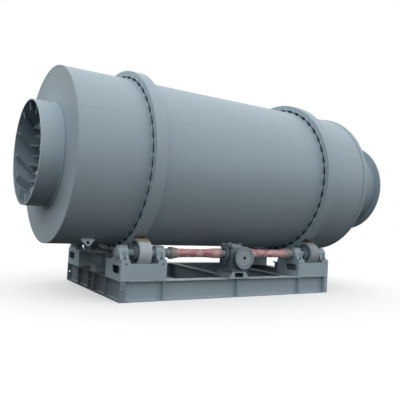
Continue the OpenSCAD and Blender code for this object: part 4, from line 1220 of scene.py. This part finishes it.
fit("vane_and_lifter_welds", tube_welds, flight_enamel, "drum", smooth=True)

# ---- discharge neck and rim ----------------------------------------------
# A lighter tube carries the sand out at the far end and stops in a flat ring flange. A flat band
# stiffens the shell's rim.
NECK_END = SHELL_1 + 0.806
neck_enamel = enamel("neck_enamel", toned(0.90), rough=0.52, grime=0.25, freckle=0.15, streaks=ROUND_RUNS)
dress(neck_enamel, "discharge_neck")
dress(enamel("discharge_flange_enamel", toned(1.02), rough=0.48, grime=0.2), "discharge_flange")
neck_welds = bmesh.new()
hoop(neck_welds, NECK_END - 0.0205, TUBE_R + 0.002, 0.0045)
for a in (40, 220):
    y, z = (TUBE_R - 0.0015) * cos(radians(a)), (TUBE_R - 0.0015) * sin(radians(a))
    bead(neck_welds, [(SHELL_1 + 0.014, y, AXIS_Z + z), (NECK_END - 0.022, y, AXIS_Z + z)], 0.0035, LONG_STEP)
fit("discharge_neck_welds", neck_welds, neck_enamel, "drum", smooth=True)

# ---- riding rings and their pads -----------------------------------------
# Two forged rings float on slanted pads welded round the shell, and small stop blocks on both sides
# hold them in place. The tread is bare and brown where it has run on the rollers.
RING_IN = 1.133
PADS = 42
PAD_SLANT = radians(40)
JOINT_UP = 0.018
JOINT_HALF = 0.010
STAINED_AT = 0.56
# Near-black painted shadow of the roller on the ring's tread at the nip; the brown is real rust.
NIP_SHADOW_DARK = (0.030, 0.025, 0.026)
STAIN_BROWN = (0.110, 0.088, 0.075)
STOP = (0.012, 0.056, 0.010)
STOP_SHIFT = 0.021
CLIP = (0.006, 0.044, 0.010)
CLIP_SHIFT = 0.030


def tread_stain_and_nip_shadow(place, fine, painted, roughness):
    """Brown rust and rubbed steel on the tread where the ring has stood on its rollers, darkened towards black
    as painted shadow of the roller at the nip.
    """
    radius = off_axis(place, DRUM_AXIS)
    sunk = (AXIS_Z - place.part("Z")) / radius
    aside = abs(place.part("Y") / radius)
    rag = place.clouds(11.0, 5.0, 0.6)
    off = abs(aside - STAINED_AT) + (sunk < 0.0) + 0.16 * (rag - 0.5)
    near = off.ramp((0.060, 1.0), (0.095, 0.4), (0.130, 0.0))
    tread = (radius > (RING_R - 0.003)) * near
    tint = rag.ramp((0.35, NIP_SHADOW_DARK), (0.68, STAIN_BROWN))
    return painted.under(tread * 0.92, tint), roughness


def ring_stain_and_bore_shade(place, fine, painted, roughness):
    """The tread's stain, and painted shade on the bore that the pads stand in."""
    stained, rough = tread_stain_and_nip_shadow(place, fine, painted, roughness)
    return stained.under((off_axis(place, DRUM_AXIS) < (RING_IN + 0.001)) * 0.9, UNDER_RING_SHADE), rough


def pad_shade(place, fine, painted, roughness):
    """Painted shade: between the rings and the shell the pads are painted dark, with a dark line along the
    joint; only the middles of their ends are left light.
    """
    radius = off_axis(place, DRUM_AXIS)
    angle = (place.part("Z") - AXIS_Z).maths("ARCTAN2", place.part("Y"))
    swept = (angle + (radius - DRUM_R - 0.006) * tan(PAD_SLANT) / radius) * (PADS / (2 * pi))
    share = swept.maths("PINGPONG", 0.5)
    at_end = abs(abs(place.part("X")) - TYRE_X) > (RING_HALF - 0.0005)
    joint = abs(radius - (DRUM_R + JOINT_UP)) < JOINT_HALF
    unshaded_end = at_end * (share < 0.25) * (1.0 - joint)
    return painted.under((1.0 - unshaded_end) * 0.9, UNDER_RING_SHADE), roughness


def swing(shape, corners, angle):
    """Turns a block from over the axis to its place round the drum."""
    bmesh.ops.transform(shape, matrix=Matrix.Rotation(angle, 4, "X"), verts=corners)
    bmesh.ops.translate(shape, verts=corners, vec=DRUM_AXIS)


# The stop blocks, clips and their welds are painted much lighter than the shell's enamel, as a painted
# highlight.
stop_highlight_enamel = enamel("stop_highlight_enamel", toned(1.55), rough=0.4, shade=0.06, grime=0.05, freckle=0.05)
dress(enamel("ring_enamel", ENAMEL, rough=0.44, streaks=ROUND_RUNS, mask=ring_stain_and_bore_shade),
      "front_riding_ring", "rear_riding_ring")
dress(enamel("pad_enamel", toned(1.15), rough=0.45, shade=0.08, mask=pad_shade),
      "front_ring_pads", "rear_ring_pads")
for end, label in ((-1, "front"), (1, "rear")):
    stops = bmesh.new()
    ticks = bmesh.new()
    for out in (-1, 1):
        x = end * TYRE_X + out * RING_HALF
        for k in range(PADS):
            middle = 2 * pi * (k + 0.5) / PADS
            clip = brick(stops, CLIP, (x + out * CLIP[0] / 2, 0, RING_IN + 0.009))
            swing(stops, clip, middle - CLIP_SHIFT / RING_IN)
            a = middle - STOP_SHIFT / DRUM_R
            stop = brick(stops, STOP)
            askew = Matrix.Rotation(random.uniform(-0.08, 0.08), 3, "Z")
            bmesh.ops.rotate(stops, verts=stop, cent=(0, 0, 0), matrix=askew)
            bmesh.ops.translate(stops, verts=stop, vec=(x + out * (STOP[0] / 2 + 0.0015), 0, DRUM_R + 0.0055))
            swing(stops, stop, a)
            for hand in (-1, 1):
                b = a + hand * (STOP[1] / 2 + 0.001) / DRUM_R
                y, z = -(DRUM_R + 0.002) * sin(b), AXIS_Z + (DRUM_R + 0.002) * cos(b)
                bead(ticks, [(x + out * 0.003, y, z), (x + out * (STOP[0] + 0.001), y, z)], 0.0035)
    bmesh.ops.bevel(stops, geom=stops.edges[:], offset=0.0015, segments=1, affect="EDGES")
    fit(f"{label}_ring_stop_blocks", stops, stop_highlight_enamel, "drum")
    fit(f"{label}_ring_stop_welds", ticks, stop_highlight_enamel, "drum", smooth=True)
